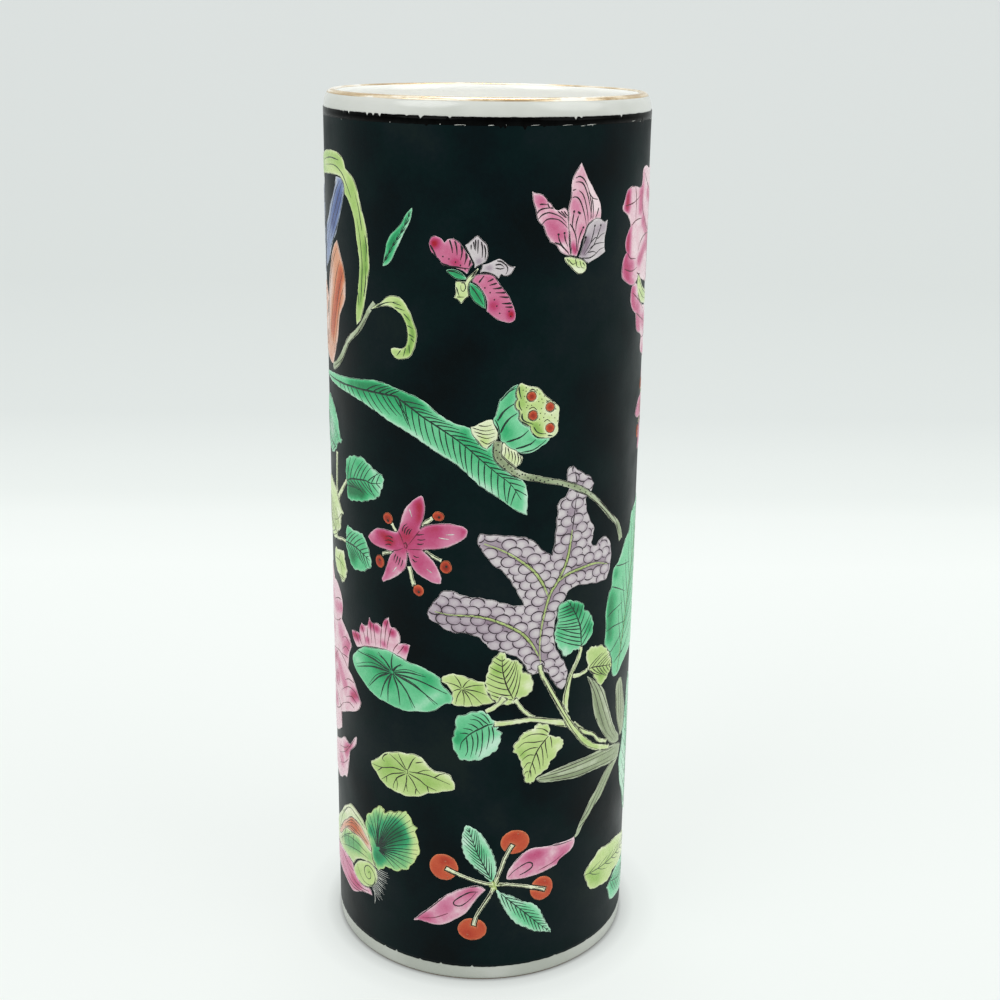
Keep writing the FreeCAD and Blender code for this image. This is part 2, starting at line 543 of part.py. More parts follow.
spray_high_leaf_shares = [
    [(31.4, 46.9), (35, 46.6), (38, 46.2), (39.4, 45.2)],
    [(42.6, 44.5), (43.9, 43.6), (43.8, 42.1), (42, 41.4), (39.2, 40.9), (37.2, 40.5)],
    [(34.3, 40.6), (31.5, 40.2), (29, 41), (26.8, 42.3), (26.5, 43.6), (27.4, 44.8), (27.2, 46), (28.4, 46.7)],
]
spray_side_leaf_shares = [
    [(43.2, 40.4), (45.3, 40.4), (46.4, 40.2)],
    [(49.5, 40.1), (52.3, 39.45), (54.5, 38.7), (55.9, 37.8), (56.6, 36.95), (56, 36.5)],
    [(53.8, 35.76), (50.9, 35.2), (48.8, 35.1)],
    [(47.4, 35.65), (45.7, 36.3), (43.9, 37.2), (41.5, 37.7)],
    [(41.8, 38.5), (41.1, 39.1), (41.1, 40)],
]
high_blade_shares = [
    [(62.2, 26.1), (58, 26.7), (54.5, 27.8), (51.6, 28.9), (48.8, 30.2), (46.7, 31.5), (45.3, 33.04),
     (44.3, 34.8), (42.5, 36.3), (41.4, 37.1)],
    [(46, 36.1), (49.5, 35.2), (52.3, 34.1), (54.5, 32.6), (56.6, 31.1), (59.4, 29.3), (62.2, 28.04),
     (66, 26.9)],
    [(66, 26)],
]
upright_blade_shares = [
    [(65.6, 27.6), (63.6, 28.9), (62.2, 30.2), (61.5, 31.9), (61.1, 33.4), (62, 34)],
    [(64.6, 34.3), (66.5, 34.1)],
    [(67.7, 33.4), (69.6, 32), (71.6, 30.2), (72, 28.4), (70.6, 26.8)],
    [(67.5, 26.4)],
]
level_blade_shares = [
    [(62.2, 26.1), (56.6, 26.5), (50.9, 26.8), (46, 26.84), (36.2, 26.84), (31.3, 26.7), (27.1, 26.5),
     (22.9, 26.2), (20, 25.9)],
    [(21.8, 25.3)],
    [(27.1, 25.03), (31.3, 24.9), (36.2, 24.66), (40.4, 24.56), (45, 24.6), (50.9, 24.4), (55.2, 24.2),
     (59.4, 24.0), (66, 23.8)],
    [(68, 25.4)],
]
low_blade_shares = [
    [(62.2, 24.5), (58, 24.0), (54.5, 23.5), (50.9, 22.5), (48.1, 21.6), (45.3, 20.86), (43.9, 20.2),
     (41.6, 19.2), (39.7, 18.2), (38.4, 17.3)],
    [(37.9, 16.8), (39.1, 16.9), (41.7, 17.9), (44.2, 18.6), (46.9, 19.5), (51.2, 20.3), (55.2, 21.3), (58.7, 22.4),
     (62.2, 23.25), (67, 23.9)],
    [(67, 24.9)],
]
tall_leaf_shares = [
    [(69.6, 52.9), (68, 51.95), (65.2, 51.5), (63.3, 51)],
    [(62.1, 50.4), (59, 49.3), (55.8, 48.86)],
    [(54.9, 48.2), (54.6, 47.3), (54.3, 46.7), (52.7, 46.15)],
    [(51.8, 45), (51.2, 44), (51.2, 43), (51.5, 41.9), (51.2, 40.7), (50.9, 40.1)],
    [(52.1, 39.5), (54, 38.8), (55.8, 37.8), (56.5, 36.9), (56.8, 36.1)],
    [(59, 35.1), (62.1, 35.1), (65.2, 35.7), (68.3, 36.1), (74.6, 36.5), (82, 36.7), (90, 38.6)],
    [(98, 43), (100, 50), (94, 54.6)],
    [(82.1, 54.75), (77.7, 54.56), (74.6, 54.4), (71.5, 54.1)],
]
floating_pad_shares = [
    [(-42, 26.6), (-39, 27.4), (-34.5, 28.1), (-30, 28.36), (-26.3, 28.5), (-24.4, 28.55), (-21.8, 28.2)],
    [(-20.3, 27.66), (-17.3, 27)],
    [(-14.3, 26.9), (-12, 26.8), (-10.6, 26.3), (-9.7, 25.6), (-9.7, 24.9)],
    [(-12, 24.6), (-16.6, 24.2), (-20.3, 23.8), (-24, 23.26), (-27.8, 23), (-31.5, 22.98), (-35.3, 23.2),
     (-38.3, 23.4), (-41.3, 24.07), (-44.3, 24.9), (-45.4, 25.3), (-45.8, 25.8)],
]
shell_fan_shares = [
    [(-49.7, 17.6), (-49, 18.2), (-46.5, 18.95), (-44, 19.8), (-41.6, 20.4), (-39.8, 20.4), (-38.8, 19.9)],
    [(-35.3, 20.4), (-31.8, 20.7), (-28.6, 20.9), (-27.2, 20.4), (-25.8, 19.7), (-24, 19.2)],
    [(-24.7, 18.4), (-23.7, 17.5), (-23.2, 16.6), (-23.3, 15.9), (-24.7, 15.04), (-26.1, 14.4), (-28.2, 13.5),
     (-31.1, 13.04), (-34.6, 12.7), (-37.7, 12.76), (-39.5, 12.4)],
    [(-42.3, 11.7)],
    [(-44.6, 12.4), (-46, 13.4), (-46.6, 14.4), (-48, 15.5), (-49.7, 16.6)],
]
shell_body_shares = [
    [(-52.1, 17.4), (-56.3, 17.9), (-60.6, 18.1), (-64.1, 17.5), (-67.6, 16.8), (-71.1, 15.7), (-77, 14.2),
     (-86, 11.6)],
    [(-88, 10.2), (-78, 10), (-66, 10.4), (-59, 10.2)],
    [(-56, 11.3), (-50, 12), (-45.6, 12), (-42.3, 11.7)],
    [(-44.6, 12.4), (-46, 13.4), (-46.6, 14.4), (-48, 15.5), (-49.7, 16.6)],
]
shell_frill_shares = [
    [(-47.9, 14.9), (-50.7, 15.7), (-53.5, 16.3), (-57, 16.45), (-60.6, 16.3), (-64.1, 15.5), (-68.3, 14.6),
     (-72.5, 13.3), (-80, 11.4)],
    [(-76, 11.6), (-70.4, 12.9), (-65.5, 14.06), (-59.8, 14.4), (-54.9, 14.6), (-50.7, 14.3), (-47.4, 13.8),
     (-45.2, 13.9)],
]
shell_spiral_shares = [
    [(-57.7, 10.5), (-54.9, 11.3), (-51.4, 11.8), (-46.5, 12.1), (-43.7, 11.56), (-43, 10.5), (-44.4, 9.6),
     (-47.9, 8.7), (-52.1, 8.4), (-56.3, 8.7), (-59.2, 9.6)],
]
shell_foot_shares = [
    [(-62, 10.6), (-68, 11), (-78, 10.4), (-88, 10.2)],
    [(-86, 7.6), (-76, 7), (-70.4, 6.9), (-65.5, 6.6), (-59.8, 6.3), (-54.9, 7), (-50.7, 7.5), (-46.2, 7.8)],
    [(-47.9, 8.6), (-52.1, 8.4), (-56.3, 8.7), (-59.2, 9.6)],
]
berry_high_leaf_shares = [
    [(0.9, 14.05), (-3.1, 15.3), (-5.9, 16.5), (-7, 18), (-6.6, 19.5), (-5.4, 20.5)],
    [(-2.3, 20.1), (0.5, 19.3), (3.3, 17.8), (5.3, 16.3), (6, 14.8), (6, 13.3)],
    [(5, 12.8)],
]
berry_low_leaf_shares = [
    [(8.5, 11.6), (12.5, 11.05), (16.5, 10.2), (19.8, 9.8), (23.4, 8.5), (25.4, 7.1), (27.4, 5.9), (28.4, 5.1)],
    [(25.4, 5.5), (21.4, 5.85), (17.4, 6.6), (14.9, 7.1), (11.7, 8.1), (9.3, 9.3), (7.3, 10.6), (5.6, 12.4)],
]
berry_right_petal_shares = [
    [(10.1, 14.3), (13.3, 15.8), (16.5, 16.7), (19.8, 17.05), (24.6, 16.9), (29.4, 16.9), (34.2, 16.85),
     (37.6, 17)],
    [(37.8, 16.1), (36.6, 15.5), (32.6, 14.9), (30, 14.1)],
    [(26.2, 13.75), (21.4, 13.4), (16.5, 13.25), (12.5, 13.25), (9.7, 13.4)],
]
berry_left_petal_shares = [
    [(-1.1, 12.7), (-5.1, 12.45), (-8.3, 12.06), (-12.3, 11.3), (-15.6, 10.4), (-18.8, 9.3), (-22.8, 8.1),
     (-26.4, 6.8)],
    [(-22, 7.1), (-17.2, 7), (-13.1, 7.3), (-9.1, 8.1), (-5.9, 8.8), (-2.7, 10.2), (-0.3, 11.3), (2.1, 12.1)],
]
corner_leaf_shares = [
    [(45.4, 12), (48.6, 12.6), (52.7, 13.35), (59.1, 13.1), (65.5, 13), (71.1, 12.5), (78.3, 11.7),
     (85, 10.75), (93, 8.8)],
    [(84, 8), (75, 8.3), (69.5, 8.4), (64.7, 8.5), (62.3, 8.1), (57.5, 8), (52.7, 8.3), (48.2, 8.6),
     (46.4, 9.1)],
    [(45, 10), (43.4, 11.2)],
]
corner_teal_leaf_shares = [
    [(61.5, 7.3), (65, 8), (69.5, 8.4), (78, 9)],
    [(92, 8), (94, 5), (90, 2.8)],
    [(83.2, 3.2), (75.1, 3.8), (67.1, 4.3), (63.1, 4.8), (61.5, 5.8), (59.5, 7)],
]
shore_leaf_shares = [
    [(67.5, 22.5), (68.7, 21), (69.5, 20.1), (71.9, 18.8), (75.1, 17.1), (76.7, 16.1), (79.9, 14.8),
     (85, 13.7), (92, 13.6)],
    [(98, 18), (96, 24), (88, 30), (78, 33.4)],
    [(74, 30), (71, 26.6), (67.6, 23.4)],
]
butterfly_upper_wing_shares = [
    [(-18.6, 86.3), (-17.6, 86.6), (-16.2, 86.6), (-14.8, 86.4), (-13.5, 86)],
    [(-12.2, 86.4), (-10.4, 86.4), (-8.4, 86), (-6.9, 85.4), (-5.6, 84.8), (-4.2, 83.9)],
    [(-5.2, 83.4), (-6.2, 82.9)],
    [(-8.8, 83.4), (-12.4, 83.6), (-14.6, 83.8)],
    [(-16.4, 84.5), (-18.2, 85), (-18.9, 85.6)],
]
butterfly_lower_wing_shares = [
    [(-2.9, 82.9), (-1, 83), (1.2, 83), (3, 82.7), (4.4, 82.1), (6.2, 81.4), (7.6, 80.8), (9, 79.8),
     (9.8, 79), (9.6, 78.3)],
    [(8.2, 78), (6, 78.1), (4, 78.3), (2, 78.7), (0.2, 79.2)],
    [(0.4, 80.2), (-0.4, 80.9), (-2, 81.6), (-4.4, 82.1)],
]
butterfly_far_wing_shares = [
    [(-5.6, 86.1), (-4.2, 86.5), (-3, 86.8), (-1.3, 86.4), (0.1, 86), (0.7, 85.5)],
    [(0.7, 84.8), (0.2, 84.3), (-1, 84)],
    [(-3.8, 83.5)],
    [(-4.4, 84.4), (-5.6, 85), (-6.8, 85.8)],
]
butterfly_side_wing_shares = [
    [(1, 84.1), (2.5, 84.3), (4, 84.5), (5.6, 84.3), (9.7, 83.8)],
    [(9, 83.3), (7.9, 82.9), (6.6, 82.75), (5, 82.9)],
    [(4.2, 82.5)],
    [(2.4, 82.9), (0.6, 83.1), (-2.2, 83)],
    [(-1.2, 83.9)],
]
butterfly_body_shares = [
    [(-2.6, 83.6), (-4.6, 83), (-6, 82.6), (-6.6, 82.2)],
    [(-8, 82.2), (-9.6, 82.2), (-10, 81.4), (-10.8, 80.5)],
    [(-9, 80.2), (-8, 79.85)],
    [(-6.8, 80.3), (-5.2, 80.7)],
    [(-5.6, 81.4), (-5.4, 82)],
    [(-4.6, 82.3), (-3, 83.1), (-0.8, 84.1)],
]
moth_near_wing_shares = [
    [(16.2, 90.95), (17.6, 90.9), (19.4, 90.5), (20.2, 90.1)],
    [(21.6, 89.8), (22.4, 89.4), (24, 89.2), (25.8, 89.4), (27.4, 89.1)],
    [(27.6, 88), (27.9, 87), (28.3, 85.8), (29, 84.6)],
    [(26, 84.8), (24.4, 85.2), (23, 85.8), (21.4, 86), (20.4, 86.4), (19.2, 87.1), (18.4, 87.7), (17.2, 88),
     (16, 89.1), (15.2, 89.9), (14.7, 91.2)],
]
moth_tall_wing_shares = [
    [(33.9, 92.9), (35.4, 92.1), (36.9, 91.4), (38.8, 90.6), (40.2, 89.9), (41, 89.2), (41.1, 88.1)],
    [(36.6, 87.6), (33.4, 86.2), (31.3, 84.4)],
    [(29, 84.6)],
    [(28.2, 86.4), (27.6, 88.2), (27.5, 89.4), (28.2, 90.2), (28.5, 91.4), (28.6, 92), (29.4, 92.6),
     (30.4, 93.1), (32.2, 93.8)],
]
moth_far_wing_shares = [
    [(34.3, 86.8), (35.4, 87.5), (37, 87.9), (39.7, 88.15), (41.4, 88), (42.8, 87.8), (45.1, 88.1)],
    [(44.3, 87.5), (44, 86.8), (43.4, 86.2), (43.2, 85.4), (43.8, 84.6)],
    [(41.7, 84.3), (38.5, 83.9), (36, 83.6)],
    [(34.8, 83.8), (31.8, 84.4)],
]
moth_body_shares = [
    [(27.6, 84.5), (30, 84.4), (32.4, 84.2), (34.9, 83.8), (35.4, 83.5)],
    [(34.8, 82.8), (33.4, 82.6), (31, 82.8), (28.9, 83.4), (27.1, 83.9), (26.5, 84.4)],
]
peony_high_shares = [
    [(54.8, 90.4), (55.6, 90.7), (57.4, 90.9), (61.4, 90.85), (66.8, 90.7)],
    [(68, 91.4), (68.2, 92.3), (69.4, 92.6), (73.6, 92.7), (82, 92.5)],
    [(90, 92), (96, 90), (98, 86.8)],
    [(104, 84), (103, 79.6), (98, 77.6)],
    [(88, 79.4), (77, 80.2), (67, 81.2)],
    [(62, 80.4), (60, 80.5), (55.6, 81.1), (53.6, 81.6), (53.3, 82.5), (54.6, 83.7), (56.2, 84.1)],
    [(55.2, 84.7), (55.1, 85.2), (56.2, 86), (58.4, 86.8)],
    [(56.8, 87.7), (55, 88.2), (52.8, 88.6), (52.5, 89)],
]
peony_calyx_shares = [
    [(68.4, 81.2), (72, 80.2), (80, 79.2), (92, 78.4)],
    [(84, 77.4), (76, 77.8), (70, 78.4), (67.4, 79.4), (66.8, 81.4)],
]
peony_low_shares = [
    [(66, 80.4), (68, 79.6), (72, 78.2), (80, 77.4), (92, 76.6)],
    [(94, 73.6), (92, 71.1), (81, 71.8), (74.8, 72.6), (75.2, 74.1)],
    [(72.5, 74.6), (67.4, 75.3), (66.3, 76.4), (65.8, 77.2)],
    [(62.2, 77.9), (60.8, 78.6), (60.7, 79.7), (61.4, 80.3)],
]

berry_centre = (5.2, 12.8)

# The spots of each motif: the front one, and the copies that fill the unseen side
BUTTERFLY = [FRONT, (226, 3.4, 1)]
MOTH = [FRONT, (106, -1.6, 1)]
SPRIG = [FRONT, (150, 0.5, -1), (262, -42, 1)]
POD = [FRONT, (166, 8.6, -1)]
SPRAY = [FRONT, (183, 0, -1)]
LILY = [FRONT, (252, 0.5, 1), (116, 12.5, 1)]
LOTUS = [FRONT, (258, -3.5, 1)]
FLOATING = [FRONT, (252, 42.5, 1)]
BERRY = [FRONT, (206, 1.4, -1)]
SHELL = [FRONT, (74, 0.6, -1)]

# Top of the painting first: a patch is cut back by the patches that lie over it
twig = size("Sizes.twig_width")
stalk = size("Sizes.stalk_width")
branch = size("Sizes.branch_width")
seed = size("Sizes.seed_radius")
bud = size("Sizes.bud_radius")
berry = size("Sizes.berry_radius")
small_berry = size("Sizes.small_berry_radius")

motifs = [
    ("butterfly_body", [butterfly_body_shares], BUTTERFLY),
    ("butterfly_green_wings", [
        leaf((-13.4, 83.3), (-5.9, 82.4), 0.38), leaf((-5.7, 82.2), (0.1, 79.4), 0.4),
    ], BUTTERFLY),
    ("butterfly_rose_wings", [butterfly_upper_wing_shares, butterfly_lower_wing_shares], BUTTERFLY),
    ("butterfly_lilac_wings", [butterfly_far_wing_shares, butterfly_side_wing_shares], BUTTERFLY),
    ("moth_body", [moth_body_shares], MOTH),
    ("moth_lilac_wing", [moth_far_wing_shares], MOTH),
    ("moth_pink_wings", [moth_near_wing_shares, moth_tall_wing_shares], MOTH),
    ("sprig_leaf", [sprig_leaf_shares], SPRIG),
    ("arching_leaf", [arching_leaf_shares], [FRONT]),
    ("curl_leaf", [curl_leaf_shares], [FRONT]),
    ("iris_blue_petals", [iris_blue_shares, iris_back_petal_shares], [FRONT]),
    ("iris_orange_petals", [iris_orange_shares, iris_side_petal_shares], [FRONT]),
    ("iris_stem", [
        ribbon([(-70, 70.8), (-63, 71.8), (-58.7, 73.2), (-55.5, 74.5), (-50.5, 75.6), (-46.8, 76.7),
                (-44.3, 77.8), (-40.6, 79.2)], twig, stalk),
    ], [FRONT]),
    ("pod_seeds", [
        disc((15.8, 70.26), seed), disc((22.5, 68.98), seed),
        disc((16.4, 68.2), seed), disc((22.7, 66.7), seed),
    ], POD),
    ("pod_face", [pod_face_shares], POD),
    ("pod_cup", [pod_cup_shares], POD),
    ("pod_stem", [
        ribbon([(4.6, 65.6), (4.3, 64.7), (4.6, 63.9), (6.3, 63.2), (8.6, 62.66), (10.9, 62.1),
                (13.9, 61.64), (17, 61.4), (22, 60.95), (26.2, 60.65), (32.5, 59.9), (37.1, 59.2),
                (40.9, 58.4), (46.5, 56.9), (52.7, 55.1), (55.8, 54.4), (57.7, 53.7), (59, 52.9),
                (60.2, 51.8)], twig, twig, branch, branch, twig),
    ], POD),
    ("pod_collar", [pod_collar_shares, pod_skirt_shares], POD),
    ("long_leaf", [long_leaf_shares], POD),
    ("spray_stems", [
        ribbon([(20.9, 39.8), (22.2, 38.3), (24.6, 37), (27.1, 35.5), (29.9, 34), (32.3, 32.7),
                (34.6, 31.5), (37.2, 30.5), (40, 29.4), (42.6, 28.6), (46, 27.8), (50, 27.2), (57, 26.4)],
               stalk, branch, twig, twig, branch),
        ribbon([(35.5, 31.7), (39.5, 30.6), (43, 29.8), (46, 29.35), (48.8, 28.4), (52, 27.8),
                (55, 27.4)], branch, stalk, stalk),
        ribbon([(32, 33.2), (31.6, 34.6), (32.3, 35.9), (33, 36.95), (34.1, 38.04), (36.2, 39.1),
                (37.95, 40.4), (38.3, 40.9)], twig, branch, stalk),
        ribbon([(34.1, 37.7), (37.6, 37.5), (41.8, 37.8)], stalk, stalk),
        ribbon([(34.6, 31.6), (29.2, 32.3), (23.6, 32.9), (19.3, 33.26), (15.1, 33.3), (10.2, 33.2),
                (4.4, 33.2)], twig, branch, branch),
        ribbon([(19.3, 33.5), (15.8, 34.3), (13, 35.4), (11.8, 36)], stalk, stalk),
        ribbon([(1.2, 34.7), (3.6, 35), (6, 35.6), (8, 36.3)], stalk, branch),
    ], SPRAY),
    ("spray_lime_leaves", [spray_top_leaf_shares, spray_low_leaf_shares, spray_side_leaf_shares], SPRAY),
    ("spray_green_leaves", [spray_round_leaf_shares, spray_high_leaf_shares], SPRAY),
    ("grass_blades", [
        high_blade_shares, upright_blade_shares, level_blade_shares, low_blade_shares,
    ], SPRAY),
    ("scaled_leaf", [scaled_leaf_shares], SPRAY),
    ("lily_buds", [
        disc((-35.6, 55.94), bud), disc((-15.7, 57.08), bud, 0.85), disc((-39.6, 50.7), bud, 1.15),
        disc((-13, 51.43), bud, 1.15), disc((-23.2, 48.34), bud),
    ], LILY),
    ("lily_petals", [lily_star_shares], LILY),
    ("lily_stalks", [
        ribbon([(-31.5, 54.4), (-33, 55), (-34.4, 55.6)], stalk, stalk),
        ribbon([(-22.4, 55.2), (-20.4, 56.1), (-17.4, 56.9)], twig, stalk),
        ribbon([(-21.4, 53.2), (-17.8, 52.5), (-14.4, 52.1)], stalk, stalk),
        ribbon([(-26.8, 51), (-25.7, 49.6), (-24.6, 48.6)], branch, branch),
        ribbon([(-33, 52.2), (-36, 52), (-38.6, 51.6)], stalk, stalk),
    ], LILY),
    ("side_leaves", [side_leaf_shares, side_low_leaf_shares, side_high_leaf_shares], [FRONT]),
    ("side_lime_leaf", [side_lime_leaf_shares, side_pale_leaf_shares], [FRONT]),
    ("side_stems", [
        ribbon([(-58.6, 58.6), (-61.1, 57.8), (-64, 56.9), (-65.6, 56.4), (-67.4, 55.6)], stalk, twig),
        ribbon([(-60.2, 51.2), (-64, 51.2), (-67.9, 50.9), (-70.4, 50.8)], stalk, stalk),
        ribbon([(-67.6, 61.2), (-68.2, 59), (-68.6, 56.4)], branch, branch),
    ], [FRONT]),
    ("lotus_pad", [lotus_pad_shares], LOTUS),
    ("lotus_flower", [lotus_flower_shares], LOTUS),
    ("small_pad", [small_pad_shares], [FRONT]),
    ("rose_head", [rose_head_shares], [FRONT]),
    ("rose_low_petal", [rose_low_petal_shares], [FRONT]),
    ("tall_leaf", [tall_leaf_shares], [FRONT]),
    ("floating_pad", [floating_pad_shares], FLOATING),
    ("shell_fan", [shell_fan_shares], SHELL),
    ("shell_frill", [shell_frill_shares], SHELL),
    ("shell_spiral", [shell_spiral_shares], SHELL),
    ("shell_body", [shell_body_shares], SHELL),
    ("shell_foot", [shell_foot_shares], SHELL),
    ("berry_stalks", [
        ribbon([berry_centre, (-2.7, 13.4), (-8.3, 14.05), (-13.1, 14.7)], branch, branch),
        ribbon([berry_centre, (8.1, 15.3), (10.1, 16.9), (12.1, 17.9)], branch, branch),
        ribbon([berry_centre, (12.5, 12.56), (18.2, 12.06), (25.4, 11.2)], branch, branch),
        ribbon([berry_centre, (2.1, 10.6), (-1.1, 8.8), (-2.3, 7.3)], branch, branch),
    ], BERRY),
    ("berry_leaves", [berry_high_leaf_shares, berry_low_leaf_shares], BERRY),
    ("berry_petals", [berry_right_petal_shares, berry_left_petal_shares], BERRY),
    ("berries", [
        disc((-13.7, 14.8), berry), disc((12.8, 18.15), berry, 0.9),
        disc((23.6, 11.5), small_berry, 1.08), disc((-2.9, 6.9), berry, 0.87),
    ], BERRY),
    ("corner_leaf", [corner_leaf_shares], [FRONT]),
    ("corner_teal_leaf", [corner_teal_leaf_shares], [FRONT]),
    ("shore_leaf", [shore_leaf_shares], [FRONT]),
    ("peony_calyx", [peony_calyx_shares], [FRONT]),
    ("peony_petals", [peony_high_shares, peony_low_shares], [FRONT]),
]


def moved(place, spot):
    turn, lift, way = spot
    return turn + way * place[0], lift + place[1]


def flat_patch(stretches, spot):
    """A patch's outline laid out flat, in lengths along the wall and up it."""
    outline = [[moved(place, spot) for place in stretch] for stretch in stretches]
    edges = []
    start = FreeCAD.Vector(*in_lengths(outline[-1][-1]), 0)
    for stretch in outline:
        points = [start] + [FreeCAD.Vector(*in_lengths(place), 0) for place in stretch]
        if len(points) == 2:
            edges.append(Part.LineSegment(points[0], points[1]).toShape())
        else:
            curve = Part.BSplineCurve()
            curve.interpolate(Points=points)
            edges.append(curve.toShape())
        start = points[-1]
    return Part.Face(Part.Wire(edges))


def wrapped_wire(flat_wire, surface):
    """A flat outline wrapped round the wall."""
    edges = []
    for edge in flat_wire.OrderedEdges:
        whole = edge.toNurbs().Edges[0]
        curve = whole.Curve.copy()
        curve.segment(whole.FirstParameter, whole.LastParameter)
        poles = []
        for pole in curve.getPoles():
            poles.append(FreeCAD.Base.Vector2d(pole.x / WALL_RADIUS - pi / 2, pole.y))
        wrapped = Part.Geom2d.BSplineCurve2d()
        wrapped.buildFromPolesMultsKnots(
            poles, curve.getMultiplicities(), curve.getKnots(), False, curve.Degree, curve.getWeights())
        edges.append(wrapped.toShape(surface))
    return Part.Wire(edges)


def enamel_solid(face, surface):
    """A flat patch wrapped on the ground and thickened outwards."""
    skin = Part.Face(surface, wrapped_wire(face.OuterWire, surface))
    solid = skin.makeOffsetShape(ENAMEL, ENAMEL * FINENESS_SHARE, fill=True)
    if not solid.isValid():
        # Short edges at a cut can miss one another by less than the closing share: their ends are joined
        solid.fix(ENAMEL * FINENESS_SHARE, ENAMEL * FINENESS_SHARE, ENAMEL * CLOSING_SHARE)
    for wire in face.Wires:
        if not wire.isSame(face.OuterWire):
            hole = Part.Face(surface, wrapped_wire(wire, surface))
            solid = solid.cut(hole.makeOffsetShape(ENAMEL, ENAMEL * FINENESS_SHARE, fill=True))
    return solid


def enamels():
    """Every motif's patches, each cut back by those painted over it."""
    surface = Part.Cylinder()
    surface.Radius = WALL_RADIUS
    scrap = size("Sizes.stalk_width") ** 2
    laid = []
    for name, outlines, spots in motifs:
        solids = []
        for spot in spots:
            for stretches in outlines:
                patch = flat_patch(stretches, spot)
                over = [face for face in laid if face.BoundBox.intersect(patch.BoundBox)]
                if over:
                    patch = patch.cut(over)
                for face in patch.Faces:
                    if face.Area > scrap:
                        laid.append(face)
                        solids.append(enamel_solid(face, surface))
        feature = doc.addObject("Part::Feature", name)
        feature.Label = name
        feature.Shape = Part.makeCompound(solids)


def write_parts(features):
    os.makedirs("parts", exist_ok=True)
    for feature in doc.Objects:
        if "Invalid" in feature.State or "Error" in feature.State:
            raise RuntimeError(f"{feature.Label} failed: {feature.State}")
    for feature in features:
        shape = feature.Shape
        if shape.isNull() or not shape.isValid() or not shape.Solids:
            raise RuntimeError(f"{feature.Label} has no valid shape")
    for feature in features:
        feature.Shape.exportStep(f"parts/{feature.Label}.step")
        print(f"{feature.Label}: {len(feature.Shape.Solids)} solids, {feature.Shape.Volume:.1f} mm3")


wall_body()
base_disc()
foot_ring()
outer_glaze()
inner_glaze()
underside_glaze()
black_ground()
gilt_rim()
enamels()
doc.recompute()
write_parts([thing for thing in doc.Objects if thing.TypeId in ("PartDesign::Body", "Part::Feature")])
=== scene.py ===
import json
import random
from math import atan2, cos, hypot, pi, radians, sin

import bpy
import numpy as np
from mathutils import Matrix, Vector, geometry, noise


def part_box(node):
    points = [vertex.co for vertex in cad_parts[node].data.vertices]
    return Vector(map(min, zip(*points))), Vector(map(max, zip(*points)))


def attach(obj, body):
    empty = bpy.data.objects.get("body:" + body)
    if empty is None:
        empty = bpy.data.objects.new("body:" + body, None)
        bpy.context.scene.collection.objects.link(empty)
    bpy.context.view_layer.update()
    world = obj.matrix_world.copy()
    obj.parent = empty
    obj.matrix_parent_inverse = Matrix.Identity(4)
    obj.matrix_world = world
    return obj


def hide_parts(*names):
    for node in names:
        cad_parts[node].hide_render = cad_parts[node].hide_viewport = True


# The looks of the porcelain hat stand: glazed porcelain, a black enamel ground, raised coloured enamels
# painted with thin dark lines, and a worn gilt lip. Lengths are in metres; MM turns millimetres into them.
# A place on the wall is degrees round from the front, then percent of the wall's height. Several places in
# a row are written as one run of numbers: degrees, percent, degrees, percent.

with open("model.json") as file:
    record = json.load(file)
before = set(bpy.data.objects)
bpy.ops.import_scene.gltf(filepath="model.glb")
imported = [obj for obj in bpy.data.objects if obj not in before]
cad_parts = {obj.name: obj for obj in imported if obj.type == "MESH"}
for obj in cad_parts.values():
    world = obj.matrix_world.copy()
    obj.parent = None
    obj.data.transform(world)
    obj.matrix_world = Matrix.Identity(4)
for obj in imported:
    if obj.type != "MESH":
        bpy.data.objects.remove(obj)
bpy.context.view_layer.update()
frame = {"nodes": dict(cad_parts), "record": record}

MM = 0.001
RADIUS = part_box("black_ground")[1].x
AROUND = 2 * pi * RADIUS
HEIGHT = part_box("wall_body")[1].z
GROUND_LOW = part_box("black_ground")[0].z
GROUND_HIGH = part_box("black_ground")[1].z

# The raised enamel: how thick it fires, how deep its edge sinks and how wide its edge rounds
ENAMEL = 0.19 * MM
SUNK = 0.03 * MM
EDGE_ROUND = 0.2 * MM
# Its mesh: the pitch of the points inside and how far they keep from the outline, the ring of points along
# the outline, and the outline's steps, with the tremor and the chips of its edge
GRID = 0.7 * MM
GRID_CLEAR = 0.62 * GRID
RING = 0.24 * MM
RING_CLEAR = 0.19 * MM
OUTLINE_STEP = 0.5 * MM
WOBBLE = 0.11 * MM
CHIP = 0.1 * MM
# The painted lines: how far they stand out of the enamel, how much wider they are than written, how finely
# they are bent, and how deep inside an outline lines and dots begin
LINE_RISE = 0.035 * MM
BOLD = 1.5
LINE_STEP = 0.45 * MM
LINE_CLEAR = 0.22 * MM
DOT_CLEAR = 0.2 * MM
# What stands for nothing in a division, as a length and as a square
TINY = 1e-12
TINY_SQUARE = 1e-18


# Shaders

def srgb(*colour):
    """A colour given as 0 to 255 on a screen, in the linear values that shaders take."""
    shares = [level / 255 for level in colour]
    return (*[s / 12.92 if s <= 0.04045 else ((s + 0.055) / 1.055) ** 2.4 for s in shares], 1.0)


